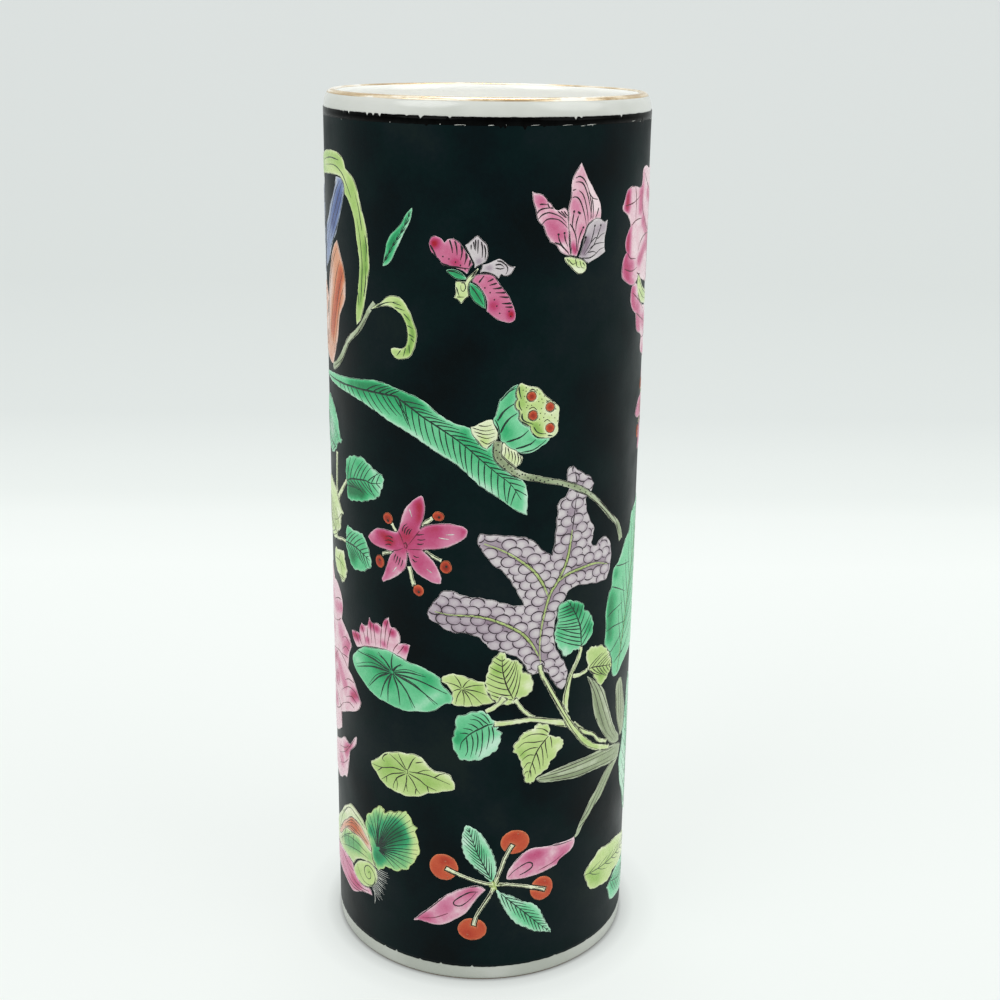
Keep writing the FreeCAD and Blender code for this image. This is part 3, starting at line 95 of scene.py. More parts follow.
class Shader:
    """A node material, with the few nodes that the finishes here need."""

    def __init__(self, name):
        self.material = bpy.data.materials.new(name)
        self.material.use_nodes = True
        self.tree = self.material.node_tree
        self.surface = self.tree.nodes["Principled BSDF"]
        self.place = self.add("ShaderNodeTexCoord").outputs["Object"]

    def feed(self, node, inputs):
        """Sets a node's inputs to values, or joins them to other nodes' sockets."""
        for key, value in inputs.items():
            if isinstance(value, bpy.types.NodeSocket):
                self.tree.links.new(value, node.inputs[key])
            else:
                node.inputs[key].default_value = value

    def add(self, kind, inputs=None, **settings):
        node = self.tree.nodes.new(kind)
        for key, value in settings.items():
            setattr(node, key, value)
        self.feed(node, inputs or {})
        return node

    def set(self, **inputs):
        """The surface's inputs, such as Base_Color."""
        self.feed(self.surface, {key.replace("_", " "): value for key, value in inputs.items()})

    def noise(self, scale, detail=2.0, stretch=(1, 1, 1)):
        """Noise of a scale per metre, drawn out along an axis where stretch is under 1."""
        mapping = self.add("ShaderNodeMapping", {"Scale": stretch, "Vector": self.place})
        return self.add("ShaderNodeTexNoise", {
            "Scale": scale, "Detail": detail, "Vector": mapping.outputs[0]}).outputs["Fac"]

    def spread(self, source, low, high, start=0.0, end=1.0):
        """A value from start to end turned into one from low to high."""
        node = self.add("ShaderNodeMapRange", {
            "Value": source, "From Min": start, "From Max": end, "To Min": low, "To Max": high})
        return node.outputs["Result"]

    def math(self, operation, first, *others):
        for other in others:
            first = self.add("ShaderNodeMath", {0: first, 1: other}, operation=operation).outputs[0]
        return first

    def ramp(self, source, *stops):
        """A colour ramp; stops are (share, colour), where a colour of three values is a screen's."""
        node = self.add("ShaderNodeValToRGB", {"Fac": source})
        band = node.color_ramp
        while len(band.elements) < len(stops):
            band.elements.new(0.5)
        for element, (share, colour) in zip(band.elements, stops):
            element.position = share
            element.color = srgb(*colour) if len(colour) == 3 else colour
        return node.outputs["Color"]

    def bump(self, source, depth, strength=1.0):
        node = self.add("ShaderNodeBump", {"Strength": strength, "Distance": depth, "Height": source})
        self.set(Normal=node.outputs["Normal"])


def enamel_shader(name, pale, light, main, deep):
    """Translucent overglaze enamel, deeper where its wash lies thicker."""
    shader = Shader(name)
    wash_level = shader.add("ShaderNodeAttribute", attribute_name="wash").outputs["Fac"]
    pooling = shader.spread(shader.noise(300, 3), -0.05, 0.05, 0.3, 0.7)
    brushing = shader.spread(shader.noise(1300, 2), -0.025, 0.025, 0.3, 0.7)
    level = shader.math("ADD", wash_level, pooling, brushing)
    shader.set(
        Base_Color=shader.ramp(level, (0.04, pale), (0.3, light), (0.62, main), (0.95, deep)),
        Roughness=shader.spread(shader.noise(900, 2), 0.2, 0.36), IOR=1.5, Specular_IOR_Level=0.26)
    shader.bump(shader.noise(1300, 3), 0.02 * MM)
    return shader.material


def line_shader(name, colour, rough):
    """The thin painted lines, a little uneven in tone."""
    shader = Shader(name)
    full = srgb(*colour)
    dark = tuple(0.55 * level for level in full[:3]) + (1.0,)
    shader.set(
        Base_Color=shader.ramp(shader.noise(1100, 2), (0.3, dark), (0.72, full)),
        Roughness=shader.spread(shader.noise(700), rough - 0.06, rough + 0.1), IOR=1.45)
    return shader.material


def glaze_shader(name, low, high):
    """Clear glaze on porcelain, painted darker near the bottom as shade and lighter higher up towards the
    lip, with soft orange peel.
    """
    shader = Shader(name)
    clouds = shader.spread(shader.noise(38, 3), -0.25, 0.25, 0.3, 0.7)
    split = shader.add("ShaderNodeSeparateXYZ", {0: shader.place})
    # Painted shade: the glaze is darker in its lowest 60 mm, by the foot and at the bottom of the bore
    rise = shader.spread(split.outputs["Z"], 0.2, 0.8, 0, 0.06)
    shader.set(
        Base_Color=shader.ramp(shader.math("ADD", rise, clouds), (0.1, low), (0.9, high)),
        Roughness=shader.spread(shader.noise(160), 0.16, 0.3), IOR=1.5, Coat_Weight=0.2, Coat_Roughness=0.14,
        Subsurface_Weight=0.08, Subsurface_Radius=(2 * MM, 2 * MM, 1.6 * MM))
    shader.bump(shader.noise(230, 2), 0.05 * MM, 0.6)
    return shader.material


def bisque_shader():
    """Unglazed fired porcelain at the foot: matt, with a fine sandy tooth."""
    shader = Shader("porcelain")
    shader.set(
        Base_Color=shader.ramp(
            shader.noise(260, 4), (0.3, (206, 196, 180)), (0.6, (226, 221, 210)), (0.8, (232, 229, 220))),
        Roughness=shader.spread(shader.noise(800), 0.7, 0.9))
    shader.bump(shader.noise(2600, 3), 0.03 * MM)
    return shader.material


def ground_shader():
    """The black enamel ground: satin, brushed on in passes, with faint blue-green clouds."""
    shader = Shader("black_enamel")
    clouds = shader.math(
        "ADD", shader.spread(shader.noise(24, 4), -0.1, 0.84, 0.28, 0.72),
        shader.spread(shader.noise(700, 3), 0.0, 0.26))
    shader.set(
        Base_Color=shader.ramp(
            clouds, (0.2, (0, 8, 10)), (0.4, (0, 14, 17)), (0.56, (0, 20, 21)), (0.7, (7, 22, 25)),
            (0.9, (17, 29, 28))),
        Roughness=shader.spread(shader.noise(55, 4), 0.3, 0.5, 0.3, 0.7), IOR=1.5, Specular_IOR_Level=0.07)
    brushed = shader.spread(shader.noise(120, 2, (1, 1, 0.2)), 0.0, 1.6)
    shader.bump(shader.math("ADD", shader.noise(1800, 3), brushed), 0.03 * MM)
    return shader.material


def border_shader():
    """The glossier black band that finishes the ground under the lip."""
    shader = Shader("black_border")
    shader.set(
        Base_Color=shader.ramp(shader.noise(420, 3), (0.35, (0, 0, 0)), (0.75, (5, 6, 6))),
        Roughness=shader.spread(shader.noise(300), 0.16, 0.3), IOR=1.5, Specular_IOR_Level=0.03)
    return shader.material


def gilt_shader():
    """Soft worn gold, rubbed through to the glaze in places; its pale bands round the lip are partly painted
    highlight.
    """
    shader = Shader("gilding")
    # Real rubbing and painted highlight both: bands run round the lip, and where they are high the gold turns
    # pale, near white
    wear_and_highlight = shader.math(
        "ADD", shader.spread(shader.noise(60, 3, (1, 1, 14)), 0.0, 0.85),
        shader.spread(shader.noise(500, 3), 0.0, 0.15))
    shader.set(
        Base_Color=shader.ramp(
            wear_and_highlight, (0.34, (202, 166, 122)), (0.46, (224, 198, 158)), (0.54, (238, 220, 190)),
            (0.62, (240, 236, 226))),
        Metallic=shader.spread(wear_and_highlight, 0.75, 0.0, 0.44, 0.6),
        Roughness=shader.spread(shader.noise(500, 3), 0.14, 0.3))
    shader.bump(shader.noise(1500, 2), 0.015 * MM)
    return shader.material


# Each enamel's tones, from where its wash is thin to where it pools
enamels = {slot: enamel_shader(slot, *tones) for slot, tones in {
    "green_enamel": ((190, 226, 202), (120, 204, 154), (55, 170, 110), (2, 108, 60)),
    "lime_enamel": ((226, 232, 200), (194, 215, 144), (152, 188, 98), (92, 140, 56)),
    "rose_enamel": ((234, 212, 216), (206, 128, 158), (184, 70, 114), (160, 14, 40)),
    "lilac_enamel": ((208, 202, 202), (178, 166, 174), (142, 124, 138), (92, 68, 90)),
    "iron_red_enamel": ((216, 140, 100), (202, 94, 58), (176, 60, 36), (116, 26, 14)),
    "olive_enamel": ((196, 204, 178), (154, 168, 132), (112, 126, 92), (64, 72, 50)),
    "blue_enamel": ((190, 196, 204), (134, 150, 182), (84, 104, 156), (46, 58, 110)),
    "orange_enamel": ((228, 202, 190), (212, 148, 112), (198, 100, 58), (160, 62, 34)),
}.items()}
# The shell's own greens, which run out into yellow; both belong to the green enamels
enamels["shell_fan"] = enamel_shader(
    "fan_green", (206, 222, 152), (160, 208, 138), (50, 158, 104), (4, 98, 58))
enamels["shell_body"] = enamel_shader(
    "shell_green", (228, 230, 200), (182, 208, 140), (112, 178, 108), (36, 134, 78))
# The colours of the painted lines, each with the slot that it belongs to
inks = {ink: (line_shader(ink + "_line", colour, rough), slot) for ink, colour, rough, slot in (
    ("black", (16, 10, 14), 0.32, "black_enamel"), ("brown", (44, 34, 20), 0.36, "black_enamel"),
    ("green", (8, 44, 32), 0.32, "green_enamel"), ("violet", (50, 34, 46), 0.34, "black_enamel"),
    ("rose", (104, 20, 44), 0.32, "rose_enamel"), ("lime", (186, 208, 126), 0.3, "lime_enamel"),
    ("white", (222, 224, 216), 0.4, "clear_glaze"), ("red", (208, 104, 70), 0.3, "iron_red_enamel"))}


# The wall laid out flat

def flat(degrees, percent):
    """A place as metres along the wall from the front, and up it."""
    return radians(degrees) * RADIUS, percent / 100 * HEIGHT


def laid(row):
    """The places of a row, laid out flat."""
    return [flat(*place) for place in zip(row[::2], row[1::2])]


def on_wall(along, up, out):
    """The point of the wall at a flat place, some way out of the ground."""
    turn = along / RADIUS
    reach = RADIUS + out
    return Vector((reach * sin(turn), -reach * cos(turn), up))


def wavering(along, up, scale, seed):
    """Smooth seeded noise on the wall, from -1 to 1."""
    turn = along / RADIUS
    return noise.noise(Vector((RADIUS * sin(turn), -RADIUS * cos(turn), up + seed)) / scale)


def unit(runs):
    """Directions, each drawn to a length of one."""
    return runs / np.maximum(np.hypot(*runs.T), TINY)[:, None]


def left_of(runs):
    """The directions to the left of some directions."""
    return np.stack([-runs[:, 1], runs[:, 0]], axis=1)


def shown_runs(shown, least):
    """The runs of neighbours that show, as lists of their numbers, if longer than least."""
    run = []
    for number, seen in enumerate([*shown, False]):
        if seen:
            run.append(number)
            continue
        if len(run) > least:
            yield run
        run = []


class Region:
    """One patch of enamel laid out flat: its outline's loops, and what a brush needs to know of it."""

    def __init__(self, loops):
        self.loops = loops
        self.starts = np.concatenate(loops)
        self.ends = np.concatenate([np.roll(loop, -1, axis=0) for loop in loops])
        self.centre = loops[0].mean(axis=0)

    def depth(self, points):
        """How far inside the outline each point lies; negative outside."""
        points = np.asarray(points, float)
        result = np.empty(len(points))
        runs = self.ends - self.starts
        squares = np.maximum((runs ** 2).sum(axis=1), TINY_SQUARE)
        block = 4000
        for first in range(0, len(points), block):
            some = points[first:first + block]
            gaps = some[:, None, :] - self.starts[None, :, :]
            shares = np.clip((gaps * runs).sum(axis=2) / squares, 0, 1)
            nearest = np.hypot(*(np.moveaxis(gaps - shares[:, :, None] * runs, 2, 0))).min(axis=1)
            above = self.starts[:, 1] > some[:, 1, None]
            below = self.ends[:, 1] > some[:, 1, None]
            rise = np.where(np.abs(runs[:, 1]) < TINY, TINY, runs[:, 1])
            cross = self.starts[:, 0] + (some[:, 1, None] - self.starts[:, 1]) * runs[:, 0] / rise
            crossings = ((above != below) & (some[:, 0, None] < cross)).sum(axis=1)
            result[first:first + block] = np.where(crossings % 2 == 1, nearest, -nearest)
        return result


def node_regions(node):
    """The patches of a CAD enamel, from the outline of its outer skin."""
    mesh = frame["nodes"][node].data
    numbers, places, index = {}, [], []
    merging = 0.001 * MM
    for vertex in mesh.vertices:
        key = tuple(round(level / merging) for level in vertex.co)
        if key not in numbers:
            numbers[key] = len(places)
            places.append(vertex.co.copy())
        index.append(numbers[key])
    outer = RADIUS + ENAMEL / 2
    group = list(range(len(places)))

    def head(number):
        while group[number] != number:
            group[number] = group[group[number]]
            number = group[number]
        return number

    directed = set()
    for face in mesh.polygons:
        corners = [index[number] for number in face.vertices]
        if all(hypot(places[c].x, places[c].y) > outer for c in corners):
            for a, b in zip(corners, corners[1:] + corners[:1]):
                if a != b:
                    directed.add((a, b))
                    group[head(a)] = head(b)
    following = {}
    for a, b in directed:
        if (b, a) not in directed:
            following.setdefault(a, []).append(b)
    patches = {}
    while following:
        start = min(following)
        loop = [start]
        step = following[start].pop()
        while step != start:
            loop.append(step)
            step = following[step].pop()
        following = {a: ends for a, ends in following.items() if ends}
        patches.setdefault(head(start), []).append(loop)
    found = []
    for loops in patches.values():
        first = places[loops[0][0]]
        zero = atan2(first.x, -first.y)
        outlines = []
        for loop in loops:
            points = []
            for number in loop:
                turn = atan2(places[number].x, -places[number].y)
                turn = zero + (turn - zero + pi) % (2 * pi) - pi
                points.append((turn * RADIUS, places[number].z))
            outlines.append(np.array(points))
        outlines.sort(key=lambda points: -np.ptp(points[:, 0]) * np.ptp(points[:, 1]))
        found.append(Region([roughened(points, *teeth.get(node, (0, 1, 0))) for points in outlines]))
    return found


# How an outline is finished: the height and pitch of its teeth, and how far it is drawn in, in mm
teeth = {
    "spray_green_leaves": (0.42, 3.4, 0), "spray_lime_leaves": (0.42, 3.1, 0), "side_leaves": (0.36, 3.2, 0),
    "side_lime_leaf": (0.3, 2.6, 0), "berry_leaves": (0.26, 2.4, 0), "shell_fan": (0.45, 4.2, 0),
    "scaled_leaf": (0.3, 4.4, 0), "long_leaf": (0.14, 3.4, 0), "floating_pad": (0.3, 5.5, 0),
    "small_pad": (0.26, 3.6, 0), "lotus_pad": (0.18, 6, 0), "corner_leaf": (0.3, 3.6, 0),
    "berry_stalks": (0.08, 1.9, 0.26), "spray_stems": (0.12, 2.6, 0.02), "lily_stalks": (0.06, 1.5, 0.14),
    "side_stems": (0.08, 2.1, 0.12),
}


def roughened(points, tooth, pitch, drawn_in):
    """An outline cut into short steps, with a leaf's teeth and the unevenness of a hand that follows it."""
    steps = []
    for start, end in zip(points, np.roll(points, -1, axis=0)):
        count = max(1, round(hypot(*(end - start)) / OUTLINE_STEP))
        steps += [start + (end - start) * number / count for number in range(count)]
    steps = np.array(steps)
    if tooth:
        following = np.roll(steps, -1, axis=0)
        turned = (steps[:, 0] * following[:, 1] - following[:, 0] * steps[:, 1]).sum() > 0
        inward = left_of(unit(np.roll(steps, -2, axis=0) - np.roll(steps, 2, axis=0))) * (1 if turned else -1)
        count = max(3, round(len(steps) * OUTLINE_STEP / (pitch * MM)))
        share = np.arange(len(steps)) / len(steps) * count
        share += [0.35 * wavering(*step, 6 * MM, 0.55) for step in steps]
        height = tooth * (np.abs(np.sin(pi * share)) - 0.62) - drawn_in
        steps = steps - height[:, None] * MM * inward
    tremor, chip = 1.6 * MM, 0.7 * MM
    return np.array([
        (along + WOBBLE * wavering(along, up, tremor, 0.3) + CHIP * wavering(along, up, chip, 0.2),
         up + WOBBLE * wavering(along, up, tremor, 0.7) + CHIP * wavering(along, up, chip, 0.6))
        for along, up in steps])


def mesh_object(name, vertices, faces, material):
    """A smooth mesh of one material, in the scene."""
    mesh = bpy.data.meshes.new(name)
    mesh.from_pydata([tuple(v) for v in vertices], [], faces)
    mesh.validate()
    mesh.update()
    for face in mesh.polygons:
        face.use_smooth = True
    mesh.materials.append(material)
    thing = bpy.data.objects.new(name, mesh)
    bpy.context.scene.collection.objects.link(thing)
    return thing


def mesh_piece(name, vertices, faces, material, slot, *nodes):
    """A finished piece of the stand, riding on it and standing for the CAD nodes named."""
    piece = mesh_object(name, vertices, faces, material)
    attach(piece, "root")
    if nodes:
        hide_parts(*nodes)
    return piece


def fired_height(along, up, depth):
    """How far the fired enamel stands out of the ground, at a depth inside its outline."""
    swell = 1 + 0.12 * wavering(along, up, 2.4 * MM, 0.1)
    return ENAMEL * swell * (1 - np.exp(-max(depth, 0) / EDGE_ROUND))


def near(points, line):
    """How far each point lies from a line of flat places."""
    line = np.asarray(line, float)
    if len(line) == 1:
        return np.hypot(*(points - line[0]).T)
    best = np.full(len(points), 1.0)
    for start, end in zip(line, line[1:]):
        run = end - start
        share = np.clip((points - start) @ run / max(run @ run, TINY_SQUARE), 0, 1)
        best = np.minimum(best, np.hypot(*(points - start - share[:, None] * run).T))
    return best


def patch_mesh(region, vertices, faces, levels, paint):
    """Adds one closed raised patch to the lists, with the wash at each vertex."""
    outline = np.concatenate(region.loops)
    edges, first = [], 0
    for loop in region.loops:
        count = len(loop)
        edges += [(first + n, first + (n + 1) % count) for n in range(count)]
        first += count
    low, high = outline.min(axis=0), outline.max(axis=0)
    inner = []
    for number, up in enumerate(np.arange(low[1], high[1], GRID * 0.866)):
        inner += [(along, up) for along in np.arange(low[0] + GRID / 2 * (number % 2), high[0], GRID)]
    inner = np.array(inner).reshape(-1, 2)
    inner = inner[region.depth(inner) > GRID_CLEAR]
    rim = []
    for loop in region.loops:
        aside = RING * left_of(unit(np.roll(loop, -1, axis=0) - np.roll(loop, 1, axis=0)))
        rim += [loop + aside, loop - aside]
    rim = np.concatenate(rim)
    rim = rim[region.depth(rim) > RING_CLEAR]
    points = [Vector(p) for p in np.concatenate([outline, inner, rim])]
    made, _, triangles, _, _, _ = geometry.delaunay_2d_cdt(points, edges, [], 0, 0.002 * MM, False)
    made = np.array([tuple(p) for p in made])
    triangles = np.array(triangles)
    triangles = triangles[region.depth(made[triangles].mean(axis=1)) > 0]
    depth = region.depth(made)
    border = {edge for a, b, c in triangles for edge in ((a, b), (b, c), (c, a))}
    rim_numbers = {number for a, b in border if (b, a) not in border for number in (a, b)}
    level = paint(made, np.maximum(depth, 0))
    top, bottom = {}, {}
    for number in sorted({int(n) for n in triangles.ravel()}):
        along, up = made[number]
        if number not in rim_numbers:
            top[number] = len(vertices)
            vertices.append(on_wall(along, up, fired_height(along, up, depth[number])))
            levels.append(float(level[number]))
        bottom[number] = len(vertices)
        top.setdefault(number, len(vertices))
        vertices.append(on_wall(along, up, -SUNK))
        levels.append(0.0)
    for a, b, c in triangles:
        faces.append((top[a], top[b], top[c]))
        if not all(n in rim_numbers for n in (a, b, c)):
            faces.append((bottom[c], bottom[b], bottom[a]))


# Where each motif is painted: how its nodes' names start, its centre on the front, the spots of its copies
# as (turn, lift, way)

FRONT = (0, 0, 1)
families = [
    (("butterfly",), (-3, 83.5), [(226, 3.4, 1)]),
    (("moth",), (33, 88), [(106, -1.6, 1)]),
    (("sprig",), (-31, 86), [(150, 0.5, -1), (262, -42, 1)]),
    (("pod", "long_leaf"), (-10, 64), [(166, 8.6, -1)]),
    (("spray", "grass", "scaled"), (30, 40), [(183, 0, -1)]),
    (("lily",), (-28, 54), [(252, 0.5, 1), (116, 12.5, 1)]),
    (("lotus",), (-35, 39), [(258, -3.5, 1)]),
    (("floating",), (-28, 26), [(252, 42.5, 1)]),
    (("berr",), (5, 12.8), [(206, 1.4, -1)]),
    (("shell",), (-60, 13), [(74, 0.6, -1)]),
]


def family(node):
    """The centre and the spots of a node's motif."""
    for starts, centre, copies in families:
        if node.startswith(starts):
            return centre, [FRONT] + copies
    return FRONT[:2], [FRONT]


def at_front(points, spot):
    """Flat points of a copy, taken back to the front motif."""
    turn, lift, way = spot
    along = (points[:, 0] - radians(turn) * RADIUS + AROUND / 2) % AROUND - AROUND / 2
    return np.stack([way * along, points[:, 1] - lift / 100 * HEIGHT], axis=1)


def to_spot(points, spot):
    """Flat points of the front motif, moved to a copy."""
    turn, lift, way = spot
    return np.stack([radians(turn) * RADIUS + way * points[:, 0], points[:, 1] + lift / 100 * HEIGHT], axis=1)


def spot_of(region, node):
    """The spot that a patch was painted at."""
    centre, spots = family(node)
    target = np.array(flat(*centre))
    return min(spots, key=lambda spot: hypot(*(at_front(region.centre[None], spot)[0] - target)))


# Washes

def wash(base, *touches, margin=0.45):
    """A brush's colour: its level, then (change, reach in mm, a row of places) where it pools or thins."""
    def paint(points, depth):
        level = np.full(len(points), float(base))
        for change, reach, *row in touches:
            level += change * np.exp(-(near(points, laid(row)) / (reach * MM)) ** 2)
        return np.clip(level, 0.02, 1) * (1 - np.exp(-depth / (margin * MM)))
    return paint


def enamel_piece(node, slot, paint):
    """A node's patches, each with its wash."""
    vertices, faces, levels = [], [], []
    for region in regions[node]:
        spot = spot_of(region, node)
        patch_mesh(
            region, vertices, faces, levels, lambda points, depth: paint(at_front(points, spot), depth))
    piece = mesh_piece(node + "_enamel", vertices, faces, enamels.get(node, enamels[slot]), slot, node)
    piece.data.attributes.new("wash", "FLOAT", "POINT").data.foreach_set("value", levels)


# Painted lines

def bent(points):
    """A smooth line through some flat points, in short steps."""
    points = np.asarray(points, float)
    if len(points) == 2:
        points = np.array([points[0], points.mean(axis=0), points[1]])
    padded = np.concatenate([[2 * points[0] - points[1]], points, [2 * points[-1] - points[-2]]])
    steps = []
    for number in range(1, len(padded) - 2):
        a, b, c, d = padded[number - 1:number + 3]
        count = max(1, round(hypot(*(c - b)) / LINE_STEP))
        for part in np.arange(count) / count:
            steps.append(0.5 * (2 * b + (c - a) * part + (2 * a - 5 * b + 4 * c - d) * part ** 2
                                + (3 * b - a - 3 * c + d) * part ** 3))
    steps.append(points[-1])
    return np.array(steps)


def drawn(*strokes):
    """Lines, each given as a row of places."""
    return [laid(stroke) for stroke in strokes]


def ribs(spine, count, lean, reach, bend=8, first=0.06, last=0.94):
    """Side veins: they leave a midrib at lean degrees, left being positive, and bend towards its tip."""
    line = bent(laid(spine))
    strokes = []
    for number in range(count):
        share = first + (last - first) * number / max(count - 1, 1)
        at = int(share * (len(line) - 2))
        ahead = line[at + 1] - line[at]
        angle = atan2(ahead[1], ahead[0])
        stroke = [line[at]]
        for part in range(1, 4):
            turn = angle + radians(lean - np.sign(lean) * bend * part)
            stroke.append(stroke[-1] + reach * MM / 3 * np.array([cos(turn), sin(turn)]))
        strokes.append(stroke)
    return strokes


def paired(spine, count, lean, *rest):
    """The same side veins on both sides of a midrib."""
    return ribs(spine, count, lean, *rest) + ribs(spine, count, -lean, *rest)


def rays(*row, sag=0.06):
    """Veins from a hub, the row's first place, to its other places, each bent a little."""
    hub, *ends = [np.array(place) for place in laid(row)]
    strokes = []
    for end in ends:
        run = end - hub
        side = np.array([-run[1], run[0]]) * sag * (1 if run[0] > 0 else -1)
        strokes.append([hub + 0.06 * run, hub + 0.5 * run + side, hub + run])
    return strokes


def rounds(centres, wide, high):
    """Rounded scales that lie over one another, the last on top: only what shows of each is drawn."""
    strokes = []
    turns = np.linspace(0, 2 * pi, 33)
    for number, centre in enumerate(centres):
        loop = centre + np.stack([wide / 2 * np.cos(turns), high / 2 * np.sin(turns)], axis=1)
        shown = np.ones(len(loop), bool)
        for other in centres[number + 1:]:
            gap = (loop - other) / (wide / 2, high / 2)
            shown &= (gap ** 2).sum(axis=1) > 0.98
        strokes += [loop[run[::2]] for run in shown_runs(shown, 3)]
    return strokes


def beside(strokes, gap):
    """Strokes moved sideways by a gap in mm, to their left."""
    result = []
    for stroke in strokes:
        line = bent(stroke)
        result.append((line + gap * MM * left_of(unit(np.gradient(line, axis=0))))[::3])
    return [stroke for stroke in result if len(stroke) > 1]


def node_depth(node, points):
    """How deep flat points lie inside any patch of a node."""
    best = np.full(len(points), -1.0)
    for region in regions[node]:
        low, high = region.loops[0].min(axis=0), region.loops[0].max(axis=0)
        moved_in = points.copy()
        moved_in[:, 0] -= np.round((points[:, 0] - region.centre[0]) / AROUND) * AROUND
        inside = ((moved_in > low) & (moved_in < high)).all(axis=1)
        if inside.any():
            best[inside] = np.maximum(best[inside], region.depth(moved_in[inside]))
    return best


def ridge_mesh(line, heights, width, vertices, faces):
    """One painted line as a low closed ridge that thins towards its ends."""
    count = len(line)
    side = left_of(unit(np.gradient(line, axis=0)))
    first = len(vertices)
    for number, ((along, up), height) in enumerate(zip(line, heights)):
        share = number / (count - 1)
        swell = min(1, 0.45 + 3 * share) * (1 - 0.7 * share ** 2)
        swell *= 1 + 0.25 * wavering(along, up, 1.5 * MM, 0.5)
        off = side[number] * width / 2 * swell
        for way, rise in ((1, -0.4), (0, 1), (-1, -0.4), (0, -1)):
            vertices.append(on_wall(along + way * off[0], up + way * off[1], height + rise * LINE_RISE))
    for number in range(count - 1):
        for corner in range(4):
            a = first + 4 * number + corner
            b = first + 4 * number + (corner + 1) % 4
            faces.append((a, b, b + 4, a + 4))
    last = first + 4 * (count - 1)
    faces.append((first + 3, first + 2, first + 1, first))
    faces.append((last, last + 1, last + 2, last + 3))


def dot_mesh(centre, height, radius, vertices, faces):
    """One painted dot, domed and closed."""
    first = len(vertices)
    for number in range(8):
        turn = 2 * pi * number / 8
        reach = radius * (1 + 0.2 * wavering(centre[0] + turn * MM, centre[1], 1.1 * MM, 0.2))
        vertices.append(on_wall(
            centre[0] + reach * cos(turn), centre[1] + reach * sin(turn), height - 0.4 * LINE_RISE))
        after = (number + 1) % 8
        faces.append((first + number, first + after, first + 8))
        faces.append((first + after, first + number, first + 9))
    vertices.append(on_wall(centre[0], centre[1], height + 1.3 * LINE_RISE))
    vertices.append(on_wall(centre[0], centre[1], height - 2 * LINE_RISE))


def line_piece(node, ink, width, strokes, dots, on_ground=False):
    """Every line and dot that one brush puts on a node, at each of its spots."""
    lines, centres = [], []
    for spot in family(node)[1]:
        lines += [to_spot(bent(stroke), spot) for stroke in strokes]
        if dots:
            centres.append(to_spot(np.array(laid(dots)), spot))
    every = np.concatenate(lines + centres)
    depths = np.full(len(every), 0.0) if on_ground else node_depth(node, every)
    vertices, faces, first = [], [], 0
    for line in lines:
        depth = depths[first:first + len(line)]
        first += len(line)
        for run in shown_runs(on_ground | (depth > LINE_CLEAR), 2):
            heights = [0 if on_ground else fired_height(*line[n], depth[n]) for n in run]
            ridge_mesh(line[run], heights, BOLD * width * MM, vertices, faces)
    for centre, depth in zip(every[first:], depths[first:]):
        if on_ground or depth > DOT_CLEAR:
            height = 0 if on_ground else fired_height(*centre, depth)
            dot_mesh(centre, height, width * MM, vertices, faces)
    if vertices:
        name = f"{node}_{ink}_{'dots' if dots else 'lines'}_{round(100 * width)}"
        mesh_piece(name, vertices, faces, *inks[ink])


def edge_piece(node, ink, width, inset, broken):
    """The fine dark line that follows inside a node's outlines, lifted here and there."""
    vertices, faces = [], []
    for region in regions[node]:
        for loop in region.loops:
            aside = inset * MM * left_of(unit(np.roll(loop, -2, axis=0) - np.roll(loop, 2, axis=0)))
            line = loop - aside
            if (region.depth(line) > 0).mean() <= 0.5:
                line = loop + aside
            depth = region.depth(line)
            shown = [deep > 0.75 * inset * MM and wavering(*place, 5 * MM, 0.15) >= broken
                     for place, deep in zip(line, depth)]
            for run in shown_runs(shown, 4):
                heights = [fired_height(*line[n], depth[n]) for n in run]
                ridge_mesh(line[run], heights, width * MM, vertices, faces)
    if vertices:
        mesh_piece(f"{node}_{ink}_edge", vertices, faces, *inks[ink])


# The scales of the scaled leaf, in rows out from its veins

scaled_veins = [
    (32.5, 55, 31.5, 52.8, 30, 51.1, 26.9, 49.3, 24.1, 48, 22, 45.7, 20.9, 43.8, 20.6, 41.8, 21.3, 39.9,
     24.5, 37.9, 28.7, 35.5),
    (26.9, 49.3, 31.1, 50, 36.7, 50.3, 43.8, 50.4, 50.8, 49.8),
    (23.4, 47.8, 21.3, 49.3, 17.8, 50.9, 12.2, 52.4, 6.5, 53.5, 0.2, 54.3),
    (20.2, 40.95, 17.4, 42.5, 13.9, 43.8, 8.3, 44.9, 2, 45.7, -3.6, 46, -11.4, 46, -17, 46.2),
    (32.5, 55, 33.5, 57.5, 34, 60, 33, 61.6)]


def scale_centres():
    """Where the scales lie: a loose brickwork, painted from the leaf's ends towards its veins."""
    veins = [bent(laid(vein)) for vein in scaled_veins]
    every = np.concatenate(veins)
    found = []
    (left, low), (right, high) = flat(-21, 35), flat(54, 63)
    row = 0
    up = low
    while up < high:
        along = left + (1.9 * MM if row % 2 else 0)
        while along < right:
            place = np.array([along + 0.7 * MM * wavering(along, up, 2.3 * MM, 0.9),
                              up + 0.5 * MM * wavering(along, up, 2.3 * MM, 0.4)])
            found.append((np.hypot(*(every - place).T).min(), tuple(place)))
            along += 3.8 * MM
        up += 2.75 * MM
        row += 1
    return [np.array(place) for gap, place in sorted(found, reverse=True) if gap > 0.8 * MM]


scales = scale_centres()


def scaled_wash(points, depth):
    """Lilac scales, each paler in the middle, and a lime glow where the veins meet."""
    middles = np.array(scales)
    level = np.empty(len(points))
    for number, point in enumerate(points):
        gap = np.hypot(*((middles - point) / (1.2, 0.9)).T).min()
        level[number] = 0.1 + 0.4 * min(gap / (1.9 * MM), 1) ** 3
    level += 0.2 * np.exp(-(near(points, laid((-18, 46, 0, 44))) / (7 * MM)) ** 2)
    return level * (1 - np.exp(-depth / (0.35 * MM)))


# The midribs of the leaves, the washes of each node, its lines as (ink, width in mm, strokes) and its dots as
# (ink, radius in mm, a row of places)

